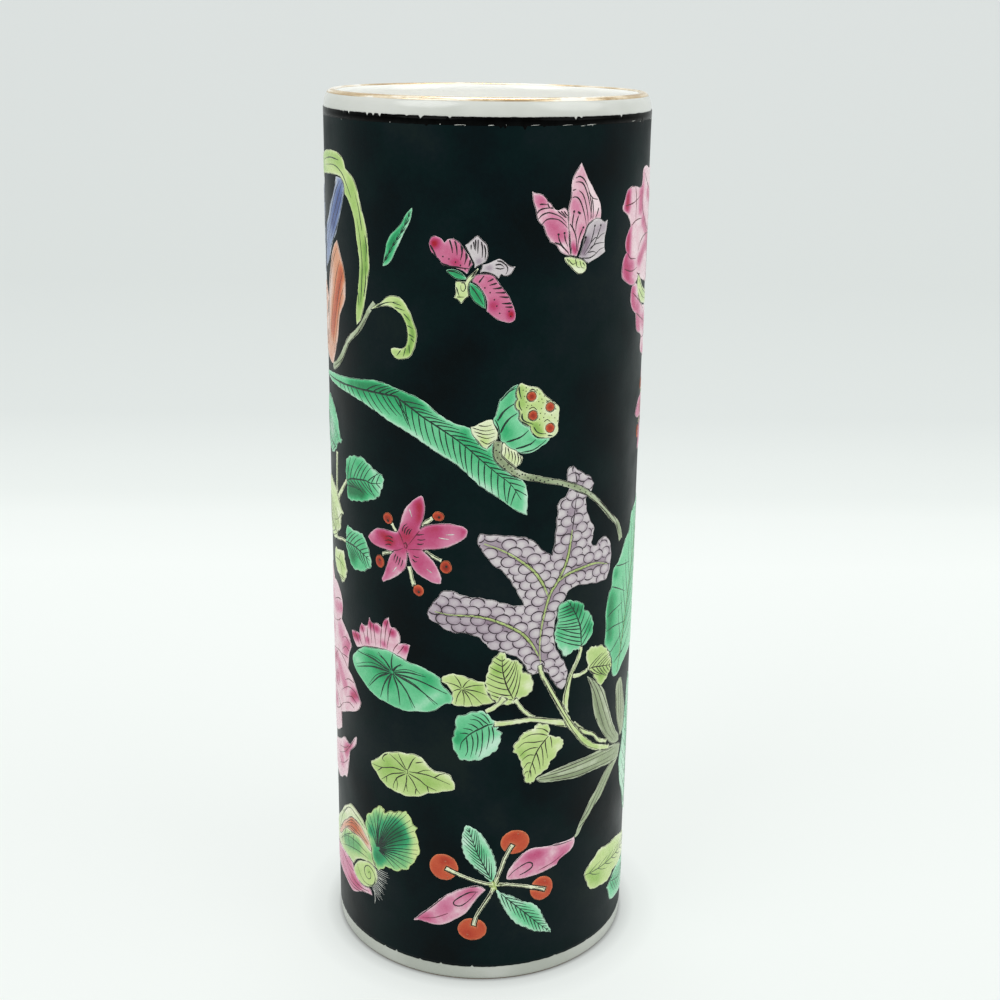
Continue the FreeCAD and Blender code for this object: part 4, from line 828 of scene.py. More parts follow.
long_spine = (
    -76, 69.4, -60, 69.5, -34, 69.65, -30.3, 69.4, -26.5, 68.8, -21.5, 67.85, -15.9, 66.9, -10, 65.8,
    -5.6, 64.8, -0.9, 63.5, 4.7, 62, 9.1, 60.85, 12.8, 59.1)
side_spine = (
    -60.6, 57.9, -58.3, 58.56, -55.5, 59, -52.7, 59.2, -49.9, 59.35, -46.5, 59.5, -43.2, 59.4, -38.6, 59.7)
low_side_spine = (
    -61.7, 51.3, -58.3, 51.34, -55.5, 51.34, -52.7, 51.26, -49.9, 51.03, -47.1, 50.7, -44.6, 50.4)
top_leaf_spine = (11.8, 35.7, 9, 37.5, 7.3, 39.4, 6.9, 41.3)
low_leaf_spine = (25.6, 31.2, 22.5, 30.2, 20.4, 29.3, 19, 28.25, 17.9, 27.2, 17.2, 26.1)
side_lime_spine = (41.5, 37.9, 45.3, 37.8, 49.5, 37.5, 55.8, 37)
round_leaf_spine = (
    3.9, 33.2, 1.65, 33, -0.4, 32.65, -2.4, 32.3, -4.4, 31.85, -6, 31.3, -7.2, 30.8, -7.8, 29.9)
high_leaf_spine = (38.2, 40.7, 37.9, 42, 37.4, 43.3, 35, 45.1, 31.5, 46.8)
berry_high_spine = (4.6, 13.2, 1.8, 15, -1.2, 17, -3.2, 18.8, -4.8, 20.2)
berry_low_spine = (6.4, 12, 11.5, 10.4, 17, 8.7, 22.5, 6.9, 27.6, 5.4)
sprig_spine = (-36.2, 83.4, -32.4, 85.2, -28.6, 86.9, -25.2, 88.9)
corner_spine = (44, 11.1, 52, 10.9, 62, 10.7, 74, 10.3, 88, 9.4)
shore_spine = (81, 12.4, 80, 17, 78.4, 22, 76, 27, 73.4, 30.6)
teal_spine = (61, 7.6, 68, 6.8, 76, 6, 86, 5.4)
far_spine = (-60.6, 61, -66, 61.4, -73, 61.9, -82, 62.4)
far_lime_spine = (-63.4, 50.6, -69, 51.4, -76, 52, -84, 52.2)
far_low_spine = (-60, 46.6, -63, 46, -67, 45.6, -70, 45.8)
tall_spine = (61, 35.4, 66, 40, 72, 46, 80, 51, 88, 54)

washes = {
    "long_leaf": wash(
        0.44, (0.42, 4.2, -52, 70.2, -38, 70.4, -24, 69.4), (-0.3, 2, -57, 68.8, -25, 65.7, 3, 60),
        (0.22, 4, -6, 66, 8, 62.6), (-0.3, 1.6, 14.6, 57.8, 15, 60)),
    "sprig_leaf": wash(0.7, (0.2, 1.4, -33, 85.6, -27, 88), (-0.45, 1.2, -30, 85.6, -25.6, 88)),
    "arching_leaf": wash(
        0.56, (0.35, 1.6, -44, 85, -43.6, 82.6), (-0.25, 2, -56, 91.5, -75, 92.6),
        (0.2, 2, -47, 82, -48, 79)),
    "curl_leaf": wash(
        0.5, (0.35, 1.3, -26, 78, -24.4, 76.4, -26.6, 74.6), (-0.2, 1.2, -38, 79.2, -33, 79.6)),
    "iris_blue_petals": wash(
        0.42, (0.35, 3, -60, 89.6, -66, 86.6), (-0.34, 2, -63, 91, -72, 87.2), (-0.2, 3, -86, 88)),
    "iris_orange_petals": wash(
        0.26, (0.55, 2.6, -59.6, 81.5, -64, 78.4, -69, 75), (-0.2, 2, -57.4, 80),
        (-0.2, 3, -71, 80.8, -76, 75), (0.3, 3, -88, 76)),
    "iris_stem": wash(0.4, (-0.25, 0.9, -60, 73.2, -50.5, 76)),
    "pod_seeds": wash(0.9, margin=0.5),
    "pod_face": wash(
        0.26, (0.34, 2.4, 11.4, 71, 12, 69.6), (0.5, 1.8, 18.6, 66.4, 16.9, 67.2),
        (0.2, 1.8, 12.6, 68.4, 15, 67.6), (0.16, 2.5, 17, 69.6), (-0.12, 2.5, 25, 68)),
    "pod_cup": wash(
        0.5, (0.26, 2.6, 7.6, 66.8), (0.26, 2, 18.8, 65.5), (0.2, 1.6, 4.4, 68.2),
        (-0.22, 3, 9, 67.9, 12.4, 66.4), (-0.2, 1.8, 13, 64.5, 19, 65), (0.3, 0.9, 10.6, 70.8)),
    "pod_stem": wash(
        0.48, (0.3, 2.2, 17, 61.6, 21, 61.2), (0.2, 1.6, 0.8, 65, 37, 59.2),
        (-0.3, 0.7, 4.4, 64.8, 12, 62, 26, 60.7, 41, 58.6, 56, 54.3)),
    "pod_collar": wash(0.14, (0.2, 1.6, 0, 65.6), (0.2, 1.6, 8, 63.6)),
    "spray_stems": wash(0.32, (-0.2, 0.7, 12, 33.3, 28, 32.4), (0.25, 1, 41, 29.2, 48, 27.6)),
    "spray_lime_leaves": wash(
        0.4, (0.3, 2.4, 50, 36.4), (0.26, 2.4, 14, 29), (0.26, 2.2, 5, 39.6), (-0.28, 2, 55, 38.4),
        (-0.24, 2, 29, 29.4), (-0.26, 2, 16.6, 37.6), (-0.2, 2, 19.5, 31.9)),
    "spray_green_leaves": wash(
        0.36, (0.42, 3, -9, 31.4), (0.12, 4, -3, 32.4), (0.5, 3.2, 33, 46, 36.6, 45.6),
        (0.4, 2.6, 42.4, 43), (-0.28, 2.4, 5, 31, 0, 29.3), (0.2, 2.4, 28, 43), (-0.26, 2, 31, 40.8)),
    "grass_blades": wash(
        0.34, (-0.2, 1, 30, 25.9, 48, 25.7), (0.2, 1, 44.6, 34.6, 54, 28.2), (-0.2, 1.1, 50, 34, 58, 29.4),
        (0.2, 0.9, 27, 25.4, 48, 24.8)),
    "scaled_leaf": scaled_wash,
    "lily_buds": wash(0.86, (-0.2, 0.9, -36, 56.4), (-0.2, 0.9, -16, 57.4), (-0.2, 0.9, -23.6, 48.8)),
    "lily_petals": wash(
        0.58, (0.34, 2.4, -22.4, 58, -21.8, 56.6), (0.3, 2.2, -6.6, 55.6), (0.3, 2.6, -38, 54.1),
        (0.34, 2, -34.6, 53.4), (0.34, 1.8, -36.4, 50), (0.28, 3.4, -28, 54.4), (0.24, 2.4, -17, 55.9),
        (-0.3, 2, -27.5, 57.4, -30, 56), (-0.26, 2.2, -12, 54.2, -9, 55.4), (-0.3, 2.2, -17, 50.2),
        (-0.3, 2.4, -31.5, 50.2, -34.6, 49.6), (-0.2, 1.8, -43, 53.6), (-0.2, 1.6, -29, 51.6)),
    "lily_stalks": wash(0.16),
    "side_leaves": wash(
        0.5, (0.5, 3.2, -56, 57.8, -49, 57.9), (0.24, 2, -58, 60), (-0.26, 2, -39, 59, -42, 61),
        (0.42, 2.6, -55, 49.9), (-0.2, 2, -46, 50.6), (-0.42, 5, -74, 63.5), (0.14, 2, -50, 61)),
    "side_lime_leaf": wash(0.3, (0.24, 2.4, -64, 48.4), (-0.2, 3, -66, 54), margin=0.7),
    "side_stems": wash(0.2),
    "lotus_pad": wash(
        0.46, (0.3, 3.5, -44, 38.6, -36, 37.2), (0.22, 3, -20, 38), (-0.26, 2.4, -53, 37.5),
        (-0.24, 2, -16, 36.4, -24, 34.4), (-0.16, 2, -38, 34.6)),
    "lotus_flower": wash(
        0.16, (0.7, 1.4, -55.2, 40.5, -52.6, 40.6), (0.66, 1.3, -50, 42), (0.7, 1.4, -44.5, 42.9),
        (0.6, 1.2, -41.5, 42.6), (0.66, 1.3, -37, 43.7), (0.62, 1.3, -34, 42.7), (0.66, 1.4, -28, 41.2),
        (0.35, 1, -46.5, 40.8), (0.3, 1, -38, 41), margin=0.3),
    "small_pad": wash(0.42, (-0.26, 1.6, -12.6, 37.6), (0.2, 1.8, -1.4, 37.4)),
    "rose_head": wash(
        0.13, (0.62, 1.8, -57, 32.7, -54.6, 33), (0.36, 2.2, -60, 38.6, -62.4, 37.8),
        (0.3, 2.2, -64, 33.4, -70, 35), (0.22, 3, -67, 39.6), (0.3, 2, -66, 42.6, -74, 42),
        (0.5, 2, -80, 38.8, -87, 37.6, -91, 34.6), (0.56, 1.7, -74, 35.6, -80, 35, -84.6, 32.8),
        (0.46, 1.8, -72, 33.4, -76, 32.6), (0.46, 2, -76, 29.8, -84, 29.4, -91, 30),
        (0.4, 2.4, -95, 38, -99, 35, -98, 31), (0.36, 2.4, -80, 42.8, -88, 41.6),
        (0.34, 2, -82, 25, -90, 26.6), margin=0.35),
    "rose_low_petal": wash(0.14, (0.55, 1.8, -64, 24.6, -60, 26), (0.26, 2.6, -70, 22.8)),
    "tall_leaf": wash(
        0.35, (0.5, 3.6, 54, 45, 53.4, 41), (0.4, 2, 57, 48), (0.2, 4, 60, 38.6),
        (0.24, 2.6, 68, 41, 78, 49, 86, 53), (-0.16, 5, 90, 46, 84, 38)),
    "floating_pad": wash(
        0.48, (0.16, 4, -36, 26), (0.14, 3, -20, 25.4), (-0.2, 1.6, -23, 28, -12, 26.4),
        (-0.14, 2, -31, 23.4), margin=0.6),
    "shell_fan": wash(
        0.48, (0.5, 4.5, -37, 16.6, -33, 17.8), (0.4, 3, -42.4, 13.6), (0.25, 2, -46, 16.6),
        (-0.42, 2, -28, 20.2, -24.4, 17.6, -25, 15.4), (-0.3, 1.4, -42, 20, -32, 20.4), margin=0.6),
    "shell_body": wash(
        0.24, (0.5, 3.4, -56, 13.2, -66, 12.4), (0.3, 2.4, -46, 13), (-0.16, 2, -58, 17.6, -66, 16.4)),
    "shell_frill": wash(0.3, (0.42, 2.2, -57, 15.4, -60, 15.6), (-0.2, 1.6, -47, 14.2)),
    "shell_spiral": wash(0.34, (0.22, 1.6, -48, 10.8), (0.16, 2, -55, 9.8)),
    "shell_foot": wash(0.3, (0.3, 2.4, -60, 8, -56, 7.8), (-0.14, 2, -50, 8), (0.14, 3, -72, 8.6)),
    "berry_stalks": wash(0.14, (0.5, 1.8, 5.2, 12.6)),
    "berry_leaves": wash(
        0.22, (0.24, 2.4, 0, 17), (0.26, 2.4, 16, 8.8, 21, 7.4), (0.3, 1.6, 5, 13.4),
        (-0.22, 1.4, -6, 18.4), (-0.2, 1.4, 2, 19)),
    "berry_petals": wash(
        0.26, (0.34, 2.4, 18.6, 16, 22, 16.2), (0.24, 1.8, 30, 14.4, 33, 15.4), (0.3, 2.4, -4, 11.9),
        (0.3, 2.2, -20, 7.8, -24.6, 7.2), (0.18, 2.4, -13, 9.6), (-0.12, 1.6, 28, 16),
        (-0.12, 1.6, -9, 9.4)),
    "berries": wash(
        0.5, (0.2, 2, -13, 15.7), (0.16, 2, 13, 19), (0.16, 2, 24, 12), (0.16, 2, -4, 6.4), margin=0.3),
    "corner_leaf": wash(0.3, (0.3, 3.4, 46.6, 10.6, 52, 9.8), (0.16, 3, 60, 11), (-0.2, 5, 78, 10)),
    "corner_teal_leaf": wash(0.26, (0.34, 2.6, 65, 6.6, 72, 5.8), (0.2, 2, 84, 5)),
    "shore_leaf": wash(0.12, (0.4, 3, 84, 14, 84, 20), (0.26, 2.4, 78, 24, 75, 29), (-0.1, 4, 70, 20)),
    "butterfly_rose_wings": wash(
        0.44, (0.6, 1.6, -17, 85.9), (0.6, 1.3, 8.4, 78.9), (0.36, 1.6, -10, 84), (0.34, 1.6, 2.6, 79.8),
        (-0.2, 1, -11.6, 86), (-0.16, 1, -1.4, 82.4), margin=0.25),
    "butterfly_lilac_wings": wash(0.14, (0.4, 0.9, -2.4, 84.2), (0.36, 0.9, 1, 83.6), margin=0.3),
    "butterfly_green_wings": wash(0.8, margin=0.35),
    "butterfly_body": wash(0.3, margin=0.3),
    "moth_pink_wings": wash(
        0.2, (0.28, 2.4, 21.6, 87.8, 24.4, 86.8), (0.24, 2, 17.6, 90.2), (0.5, 0.9, 29.4, 85.5, 30.4, 85),
        (0.12, 2.4, 30.4, 89.6), (0.08, 2, 32.6, 87), (-0.24, 0.9, 14.9, 91.2), (-0.24, 1.4, 25, 85.4),
        (-0.3, 2.2, 39.4, 89.6, 37.6, 91.2), (-0.1, 1.6, 35.6, 92), margin=0.3),
    "moth_lilac_wing": wash(
        0.16, (0.6, 1.5, 33.4, 84.9, 35, 86), (0.2, 1.4, 38.6, 86.8, 42, 87.2), (-0.14, 1.6, 42.6, 85.4),
        (-0.14, 1.2, 38, 84), margin=0.3),
    "moth_body": wash(0.36, (-0.34, 1.2, 30, 83.2, 33.4, 82.9)),
    "peony_petals": wash(
        0.1, (0.8, 1.7, 55.4, 91.2, 55.2, 88.8), (0.75, 1.7, 56.8, 86.6, 56.4, 84.4),
        (0.6, 2.6, 55.4, 83.2, 57.6, 80.8), (0.3, 2, 60, 82.6), (0.5, 2.4, 61.4, 80, 62.8, 77.6),
        (0.4, 2.8, 67.4, 77.6, 70, 73.6), (0.42, 2, 67, 92.4, 66.6, 88.4),
        (0.46, 1.7, 70.4, 87, 76, 85.6, 84, 84.6), (0.44, 1.8, 67, 82.9, 74, 84.2, 84, 84),
        (0.44, 1.8, 76, 89.8, 86, 88.8, 94, 87.4), (0.4, 2.6, 101, 87, 105, 83, 104, 79),
        (0.42, 2, 96, 83, 97.6, 79), (0.4, 2.4, 76, 76, 84, 75, 91, 75.4), (0.36, 2, 78, 72.4, 84, 71),
        margin=0.4),
    "peony_calyx": wash(0.3, (0.2, 1.4, 74, 79.2)),
}

drawings = {
    "long_leaf": [
        ("green", 0.62, drawn(long_spine)),
        ("green", 0.42, ribs(long_spine, 30, -58, 8.5, 6, 0.14, 0.97)),
        ("green", 0.4, ribs(long_spine, 24, 34, 7.5, 6, 0.3, 0.96)),
    ],
    "sprig_leaf": [
        ("green", 0.35, drawn(sprig_spine)),
        ("green", 0.26, ribs(sprig_spine, 7, 26, 2.6)),
        ("green", 0.26, ribs(sprig_spine, 7, -26, 2.6)),
    ],
    "arching_leaf": [("green", 0.36, drawn(
        (-44.6, 86, -43.9, 84.6, -44.4, 83.3), (-48.3, 82.4, -48.1, 81), (-48.9, 80.2, -48.3, 78.6),
        (-45.6, 79.6, -44.6, 81.2, -44.2, 82.8),
        (-47.2, 79, -46.6, 80.8, -46.2, 83, -47, 85.4, -48.6, 87.6),
        (-51.8, 89.6, -54.6, 90.9, -58, 92, -64, 92.6, -74, 92.4), (-46, 86.4, -47.6, 88.6, -49.6, 90.2),
        (-60, 93.2, -68, 93.3, -78, 92.8)))],
    "curl_leaf": [("green", 0.32, drawn(
        (-32.6, 79.5, -29.1, 79.3), (-31.7, 79.05, -27.8, 78.8), (-28.2, 78.5, -25.7, 77.8),
        (-26.8, 77.3, -24.6, 77), (-26.3, 76.4, -24.2, 76.1), (-27.5, 74.9, -28.4, 74),
        (-26.2, 75.3, -26, 74.4), (-29.4, 74.6, -31, 74), (-39.6, 78.8, -35, 79.4, -30.4, 79.6),
        (-25.4, 76, -24.2, 75.6)))],
    "iris_blue_petals": [
        ("violet", 0.34, drawn(
            (-57.6, 91, -61, 89.4, -65, 87.6, -70, 85.6, -76, 83.4),
            (-57.4, 90, -60.4, 88.4, -64.4, 86.6, -69, 84.8), (-59.6, 91.1, -64, 89.6, -69, 87.2, -75, 85),
            (-62.4, 91, -66, 89.4, -71, 87.4), (-82, 86, -84, 88, -84.6, 89.6),
            (-84, 84.6, -87, 86.6, -88.4, 88.4), (-79, 79.6, -83, 82, -86, 85, -87, 88.4),
            (-80.6, 82, -83.4, 84.6, -84.4, 88))),
        ("black", 0.3, drawn((-57.2, 89.4, -60, 87.6, -63.8, 85.8, -69.6, 83.8))),
    ],
    "iris_orange_petals": [("brown", 0.3, drawn(
        (-58.4, 81.6, -61.6, 79.6, -65.4, 76.6, -69.6, 73),
        (-60.6, 82.8, -64, 81, -68.4, 77.6, -72.6, 73.6), (-58, 80, -61, 78.4, -64.4, 75.4, -68, 72.4),
        (-63, 84, -67, 82.4, -72, 79.4, -75.6, 76), (-79, 78.4, -85, 77.4, -94, 75.2),
        (-78, 76.6, -85, 75.2, -92, 73.8), (-80, 78.8, -87, 78.4, -95, 76.8),
        (-77, 74.6, -83, 73.4, -89, 73), (-66, 83.6, -70, 81.6, -73.4, 78, -75, 74)))],
    "iris_stem": [("brown", 0.26, drawn(
        (-68, 70.9, -60.6, 72.1, -54, 74.4, -47, 76.2), (-66, 71.8, -59, 73.6, -52.6, 75.6, -46, 77.4),
        (-56, 74, -50, 75.4, -44.6, 77.4)))],
    "pod_face": [
        ("green", 0.42, drawn(
            (11.6, 71.5, 11.5, 70.9, 12.2, 70.03), (11.5, 69.85, 11.6, 69.3, 12.5, 68.8),
            (12.6, 68.5, 12.7, 67.95, 13.9, 67.6, 15.6, 67.4, 16.5, 67.25),
            (16.7, 67, 17.8, 66.45, 19.5, 66.2, 21.2, 66.14), (21.8, 65.95, 23.6, 65.85),
            (10.7, 71.2, 10.6, 70.6, 11.1, 70.03), (10.4, 69.7, 10.4, 69.2, 11.6, 68.8),
            (11.9, 68.4, 11.8, 67.98, 12.6, 67.65, 15.5, 67.1),
            (16.1, 66.5, 17.1, 66.1, 18.6, 65.8, 20.5, 65.75))),
        ("brown", 0.3, drawn(
            (20.3, 67.45, 21.5, 67.66, 22.7, 67.4), (14.8, 68.9, 16.4, 69.1, 17.8, 68.75),
            (15, 70.9, 16.4, 71, 17.6, 70.6), (20.9, 69.5, 22.2, 69.66, 23.6, 69.4))),
    ],
    "pod_cup": [
        ("green", 0.62, drawn(
            (4.3, 67.75, 5.95, 68.6, 7.6, 69.1, 9.75, 69.55), (5.4, 66.5, 6.6, 67.3, 8.3, 68, 10.9, 68.55),
            (7.3, 65.5, 9.9, 65.7, 12.6, 66.04, 14.9, 66.65),
            (10.6, 64.75, 13.2, 64.9, 15.9, 65.2, 17.5, 65.6))),
        ("green", 0.34, drawn(
            (12.4, 64.3, 16.5, 64.5, 19.6, 65.05, 21.4, 65.5),
            (5.3, 69.9, 6.2, 70.2, 7.8, 70.75, 10.2, 71.4), (3.2, 68, 4.2, 67.5, 5, 66.7, 5.4, 65.9),
            (6.6, 70.5, 8.4, 70.9, 10.4, 71.2))),
    ],
    "pod_collar": [("brown", 0.3, drawn(
        (-4, 67, 0, 66.7, 3.4, 66.9), (-3.4, 66.6, 0.4, 66.3, 3.6, 66.5),
        (-2.6, 66.2, 0.6, 65.9, 3.4, 66.1), (-1.4, 65.7, 1, 65.3, 2.8, 65.6),
        (-3, 67.3, 0.4, 67.2, 2.9, 67.4), (7.2, 64.95, 7.1, 64.4, 6.8, 63.9),
        (7.9, 64.9, 8.4, 64.1, 7.9, 63.3), (8.9, 64.7, 9.5, 63.9, 9.1, 63),
        (9.9, 64.55, 10.5, 63.8, 10.1, 62.9), (10.9, 64.4, 11.6, 63.6, 11.1, 62.9),
        (11.9, 64, 12.5, 63.5, 12.1, 63)))],
    "pod_stem": [("brown", 0.28, drawn(
        (3.3, 65, 3.2, 64, 5.2, 62.9, 8.6, 62.1, 13.4, 61.3), (5.9, 65, 5.7, 64.3, 7.4, 63.4, 11, 62.5),
        (41, 58.1, 47, 56.5, 53, 54.7, 57, 53.2), (44, 57.8, 50, 56.1, 55.4, 54.5, 58.4, 52.6)))],
    "scaled_leaf": [
        ("violet", 0.4, rounds(scales, 4.6 * MM, 3.5 * MM)),
        ("lime", 0.8, drawn(*scaled_veins[:4])),
        ("violet", 0.42, drawn(scaled_veins[4])),
        ("brown", 0.22, beside(drawn(*scaled_veins[:4]), 0.55) + beside(drawn(*scaled_veins[:4]), -0.5)),
    ],
    "spray_lime_leaves": [
        ("brown", 0.46, drawn(top_leaf_spine, low_leaf_spine, side_lime_spine)),
        ("brown", 0.38, drawn(
            (24.8, 31.4, 23, 31.9, 21, 32.1, 18.8, 32.2), (24.4, 31.05, 21.6, 31.4, 18, 31.5, 14.8, 31.1),
            (22.8, 30.5, 19.4, 30.5, 15.6, 30.6, 13, 30), (20.8, 29.8, 18, 29.8, 15.6, 29.5, 14, 29),
            (19.4, 28.9, 17.4, 29, 15.6, 28.7, 14.4, 28.3), (18.2, 28, 16.8, 28, 15.4, 27.4),
            (17.4, 27, 16.2, 26.9, 15.8, 26.6), (25.3, 31.1, 26, 30.4, 26.4, 29.4),
            (23.6, 30.6, 23.8, 29.8, 24.3, 29, 24.7, 28.2), (21.9, 30, 22.5, 29.3, 22.9, 28.2, 22.9, 27.3),
            (20.2, 29.2, 21, 28.4, 21.6, 27.6, 21.8, 27), (18.6, 28.1, 19.2, 27.5, 19.8, 27, 20, 26.5),
            (17.8, 27.2, 18.2, 26.7, 18.3, 26.2))),
        ("brown", 0.36, ribs(top_leaf_spine, 8, 62, 8) + ribs(top_leaf_spine, 8, -56, 9)
            + paired(side_lime_spine, 7, 46, 8, 8)),
    ],
    "spray_green_leaves": [
        ("green", 0.55, drawn(round_leaf_spine, high_leaf_spine)),
        ("green", 0.42, drawn(
            (3.6, 32.9, 4.2, 32, 4.2, 31.3, 3.7, 30.8), (2.4, 32.9, 2.7, 32.2, 2.5, 31.2, 1.8, 30.1),
            (0.1, 32.6, 0.3, 31.6, 0.1, 30.4, -0.4, 29.6, -1, 29.1),
            (-1.9, 32.2, -1.4, 31.6, -1.4, 30.6, -2.1, 29.4),
            (-3.7, 31.9, -3.1, 31.2, -3.1, 30.4, -3.9, 29.1),
            (-5.4, 31.5, -5.1, 30.6, -5, 29.8, -5.8, 29.2), (2.9, 33.3, 1.8, 33.9, 0.6, 34.3, -0.6, 34.5),
            (2.4, 33.1, 0.8, 33.5, -0.8, 33.9, -3.6, 34.3), (0.6, 32.9, -1, 33.5, -2.4, 33.7, -4.2, 33.7),
            (-1.2, 32.6, -2.4, 32.9, -3.6, 33.1, -5, 33.2), (-3.1, 32.3, -4.2, 32.5, -6.6, 32.6),
            (-4.6, 31.9, -6, 32, -7.8, 31.95))),
        ("green", 0.42, ribs(high_leaf_spine, 12, 70, 11, 4) + ribs(high_leaf_spine, 8, -50, 8, 6)),
    ],
    "spray_stems": [("brown", 0.26, drawn(
        (22, 38.2, 26.4, 35.6, 31, 33.1, 36, 30.6, 42, 28.4, 50, 26.9),
        (23.6, 37.9, 28.8, 35, 33.2, 32.6, 38, 30.6, 43.6, 28.8, 52, 27.3),
        (31.2, 34, 31.2, 35.4, 33, 37.4, 35.6, 39, 37.6, 40.6),
        (32.8, 34.6, 33.2, 36, 34.6, 37.9, 37.2, 39.6), (33, 31.6, 26, 32.3, 18, 33, 8, 32.9),
        (31, 32.5, 24, 33.1, 16, 33.6, 7, 33.5), (37, 31.3, 42, 30.2, 46, 29.5, 50, 28.2)))],
    "grass_blades": [("brown", 0.28, drawn(
        (21.4, 25.7, 34, 25.5, 48, 25.3, 62, 24.9), (21.6, 25.95, 34, 26.1, 48, 26.1, 62, 25.6),
        (26, 26.3, 38, 26.55, 50, 26.45, 60, 26), (26, 25.3, 38, 24.9, 50, 24.8, 62, 24.3),
        (42.6, 36.6, 46.4, 34.2, 50, 31.2, 54, 28.8, 60, 26.9),
        (43.4, 36.7, 48, 34.4, 52.4, 31.4, 57, 28.7, 62, 26.9),
        (44.6, 36.5, 49.6, 34.6, 54.4, 31.8, 58.4, 29.2, 63, 27.2), (39.2, 17.8, 45, 19, 51, 21.1, 57, 23),
        (39.4, 18.3, 44.4, 19.6, 49.6, 21.5, 55, 23.2), (41, 17.6, 47, 18.9, 53, 20.9, 59, 22.9),
        (63.6, 33.6, 64, 31, 65.6, 28.6), (65.4, 33.7, 66.4, 31, 67.2, 28),
        (67, 33.2, 68.6, 31, 69, 28.4)))],
    "lily_petals": [
        ("rose", 0.3, drawn(
            (-31, 54.8, -29.6, 54, -28.6, 53.2), (-22.6, 55.2, -25, 54.2, -27, 53.4),
            (-21.6, 53.1, -24.6, 53, -27, 52.9), (-27.4, 52.2, -27.6, 52.8),
            (-33.4, 52.4, -31, 52.6, -29.2, 52.9))),
        ("black", 0.42, drawn(
            (-29.4, 54.8, -28.8, 55.4, -27.4, 55.8), (-28.6, 54.6, -28, 55.2, -26.9, 55.5),
            (-27.8, 54.5, -27.2, 55, -26.2, 55.3), (-26.8, 54.6, -26.2, 55, -25.4, 55.3),
            (-23.6, 54.7, -22, 54.8, -20.8, 54.9), (-23.4, 54.2, -21.8, 54.2, -20.4, 54.35),
            (-23.6, 53.7, -22, 53.7, -21, 53.85), (-25, 52.3, -24, 52.15, -22.8, 52.2),
            (-25.4, 51.9, -24.4, 51.6, -23.6, 51.7), (-29.2, 51.6, -29.6, 51.1, -30.2, 50.7),
            (-30.2, 51.8, -30.8, 51.2, -31.4, 50.8), (-31.2, 51.9, -31.9, 51.3, -32.4, 51),
            (-32, 52.1, -32.8, 51.6, -33, 51.2), (-33.4, 53.8, -35, 53.95, -36.6, 53.8),
            (-33.2, 53.4, -35, 53.5, -37, 53.3), (-34, 52.95, -35.4, 53, -36.8, 52.8))),
        ("rose", 0.5, drawn(
            (-28.6, 53.4, -28.1, 53.6, -27.5, 53.35, -27.7, 53.0, -28.3, 53.0, -28.6, 53.3))),
        ("white", 0.34, drawn(
            (-26.6, 57.6, -25.4, 56.6), (-12, 54.6, -15.6, 54.7), (-10, 55.2, -13, 55.1),
            (-31.8, 50.6, -33.6, 49.9), (-18, 50.6, -20, 51))),
    ],
    "side_leaves": [
        ("green", 0.55, drawn(side_spine, low_side_spine, far_spine)),
        ("green", 0.36, paired(far_spine, 8, 50, 12, 6)),
        ("green", 0.4, ribs(side_spine, 10, 58, 9, 8) + ribs(side_spine, 10, -50, 7, 4)
            + ribs(low_side_spine, 8, 52, 7, 6) + ribs(low_side_spine, 8, -46, 6, 4)),
    ],
    "side_lime_leaf": [
        ("brown", 0.4, drawn(far_lime_spine, far_low_spine)),
        ("brown", 0.3, paired(far_lime_spine, 8, 50, 12, 6) + paired(far_low_spine, 6, 50, 6, 6)),
        ("brown", 0.28, drawn(
            (-72, 48.2, -66, 48.3, -61, 47.8), (-68, 48.3, -65.4, 49.4), (-66, 48.2, -64, 46.6),
            (-63.6, 54.3, -68, 53.2, -74, 52.6))),
    ],
    "lotus_pad": [
        ("green", 0.62, rays(
            -34.3, 38, -40.9, 39.8, -34, 40.2, -30.3, 39.2, -20.3, 38.3, -15.9, 35.2, -24.7, 34.3,
            -30.9, 34.2, -36.4, 34.1, -40, 34.4, -45.9, 35.2, -53.4, 36.8, -52.8, 38.8, -12.4, 36.6)),
        ("green", 0.3, rays(
            -34.6, 38.1, -41.5, 39.6, -29.6, 39.1, -21, 38.5, -16.9, 35.1, -25.6, 34.2, -46.8, 35.1,
            -53.8, 37.1, -49, 39, sag=0.1)),
        ("green", 0.34, drawn((-34.8, 38.3, -33.8, 38.3, -33.6, 37.8, -34.6, 37.7, -34.9, 38.2))),
    ],
    "lotus_flower": [("rose", 0.34, drawn(
        (-51.6, 41, -51, 40.4, -49.6, 39.8), (-46.6, 42.5, -46.4, 41.4, -45.6, 40.2),
        (-50, 42.2, -48.6, 41.4, -47.4, 40.2), (-43.2, 43, -42.6, 41.8, -42, 40.5),
        (-39, 42.9, -39.4, 41.8, -39.6, 40.5), (-34.4, 43.2, -35.8, 41.8, -36.6, 40.5),
        (-31.1, 41.7, -33, 41, -34, 40.3), (-45.2, 43.6, -44.6, 42.2, -44.2, 40.6),
        (-35.8, 44.2, -37, 42.8, -37.8, 40.8), (-54.4, 41, -53, 40.4, -51.4, 39.7),
        (-29, 41.5, -30.6, 40.8, -32, 40.3)))],
    "small_pad": [("brown", 0.34, rays(
        -7.1, 37.4, -13, 38, -9.8, 38.9, -4, 38.6, 1.4, 37.9, 3.6, 36.4, 0, 35.6, -3.4, 35.4, -6.4, 35.3,
        -9.4, 35.5, -11.2, 36.8))],
    "rose_head": [("rose", 0.36, drawn(
        (-66.4, 41.3, -70, 40.6, -76, 40), (-60.8, 35.7, -64, 36.4, -70, 36.8, -78, 36.2),
        (-58.6, 38.9, -62, 39.4, -66, 38.9), (-59.4, 38, -62.4, 38.2, -66, 37.4),
        (-60, 37, -63, 37, -67, 36.8), (-52.4, 32.7, -56, 33.4, -61, 33.3, -68, 32),
        (-54, 32, -58, 32.4, -63, 31.8), (-56, 31.2, -60, 31.4, -66, 30.6),
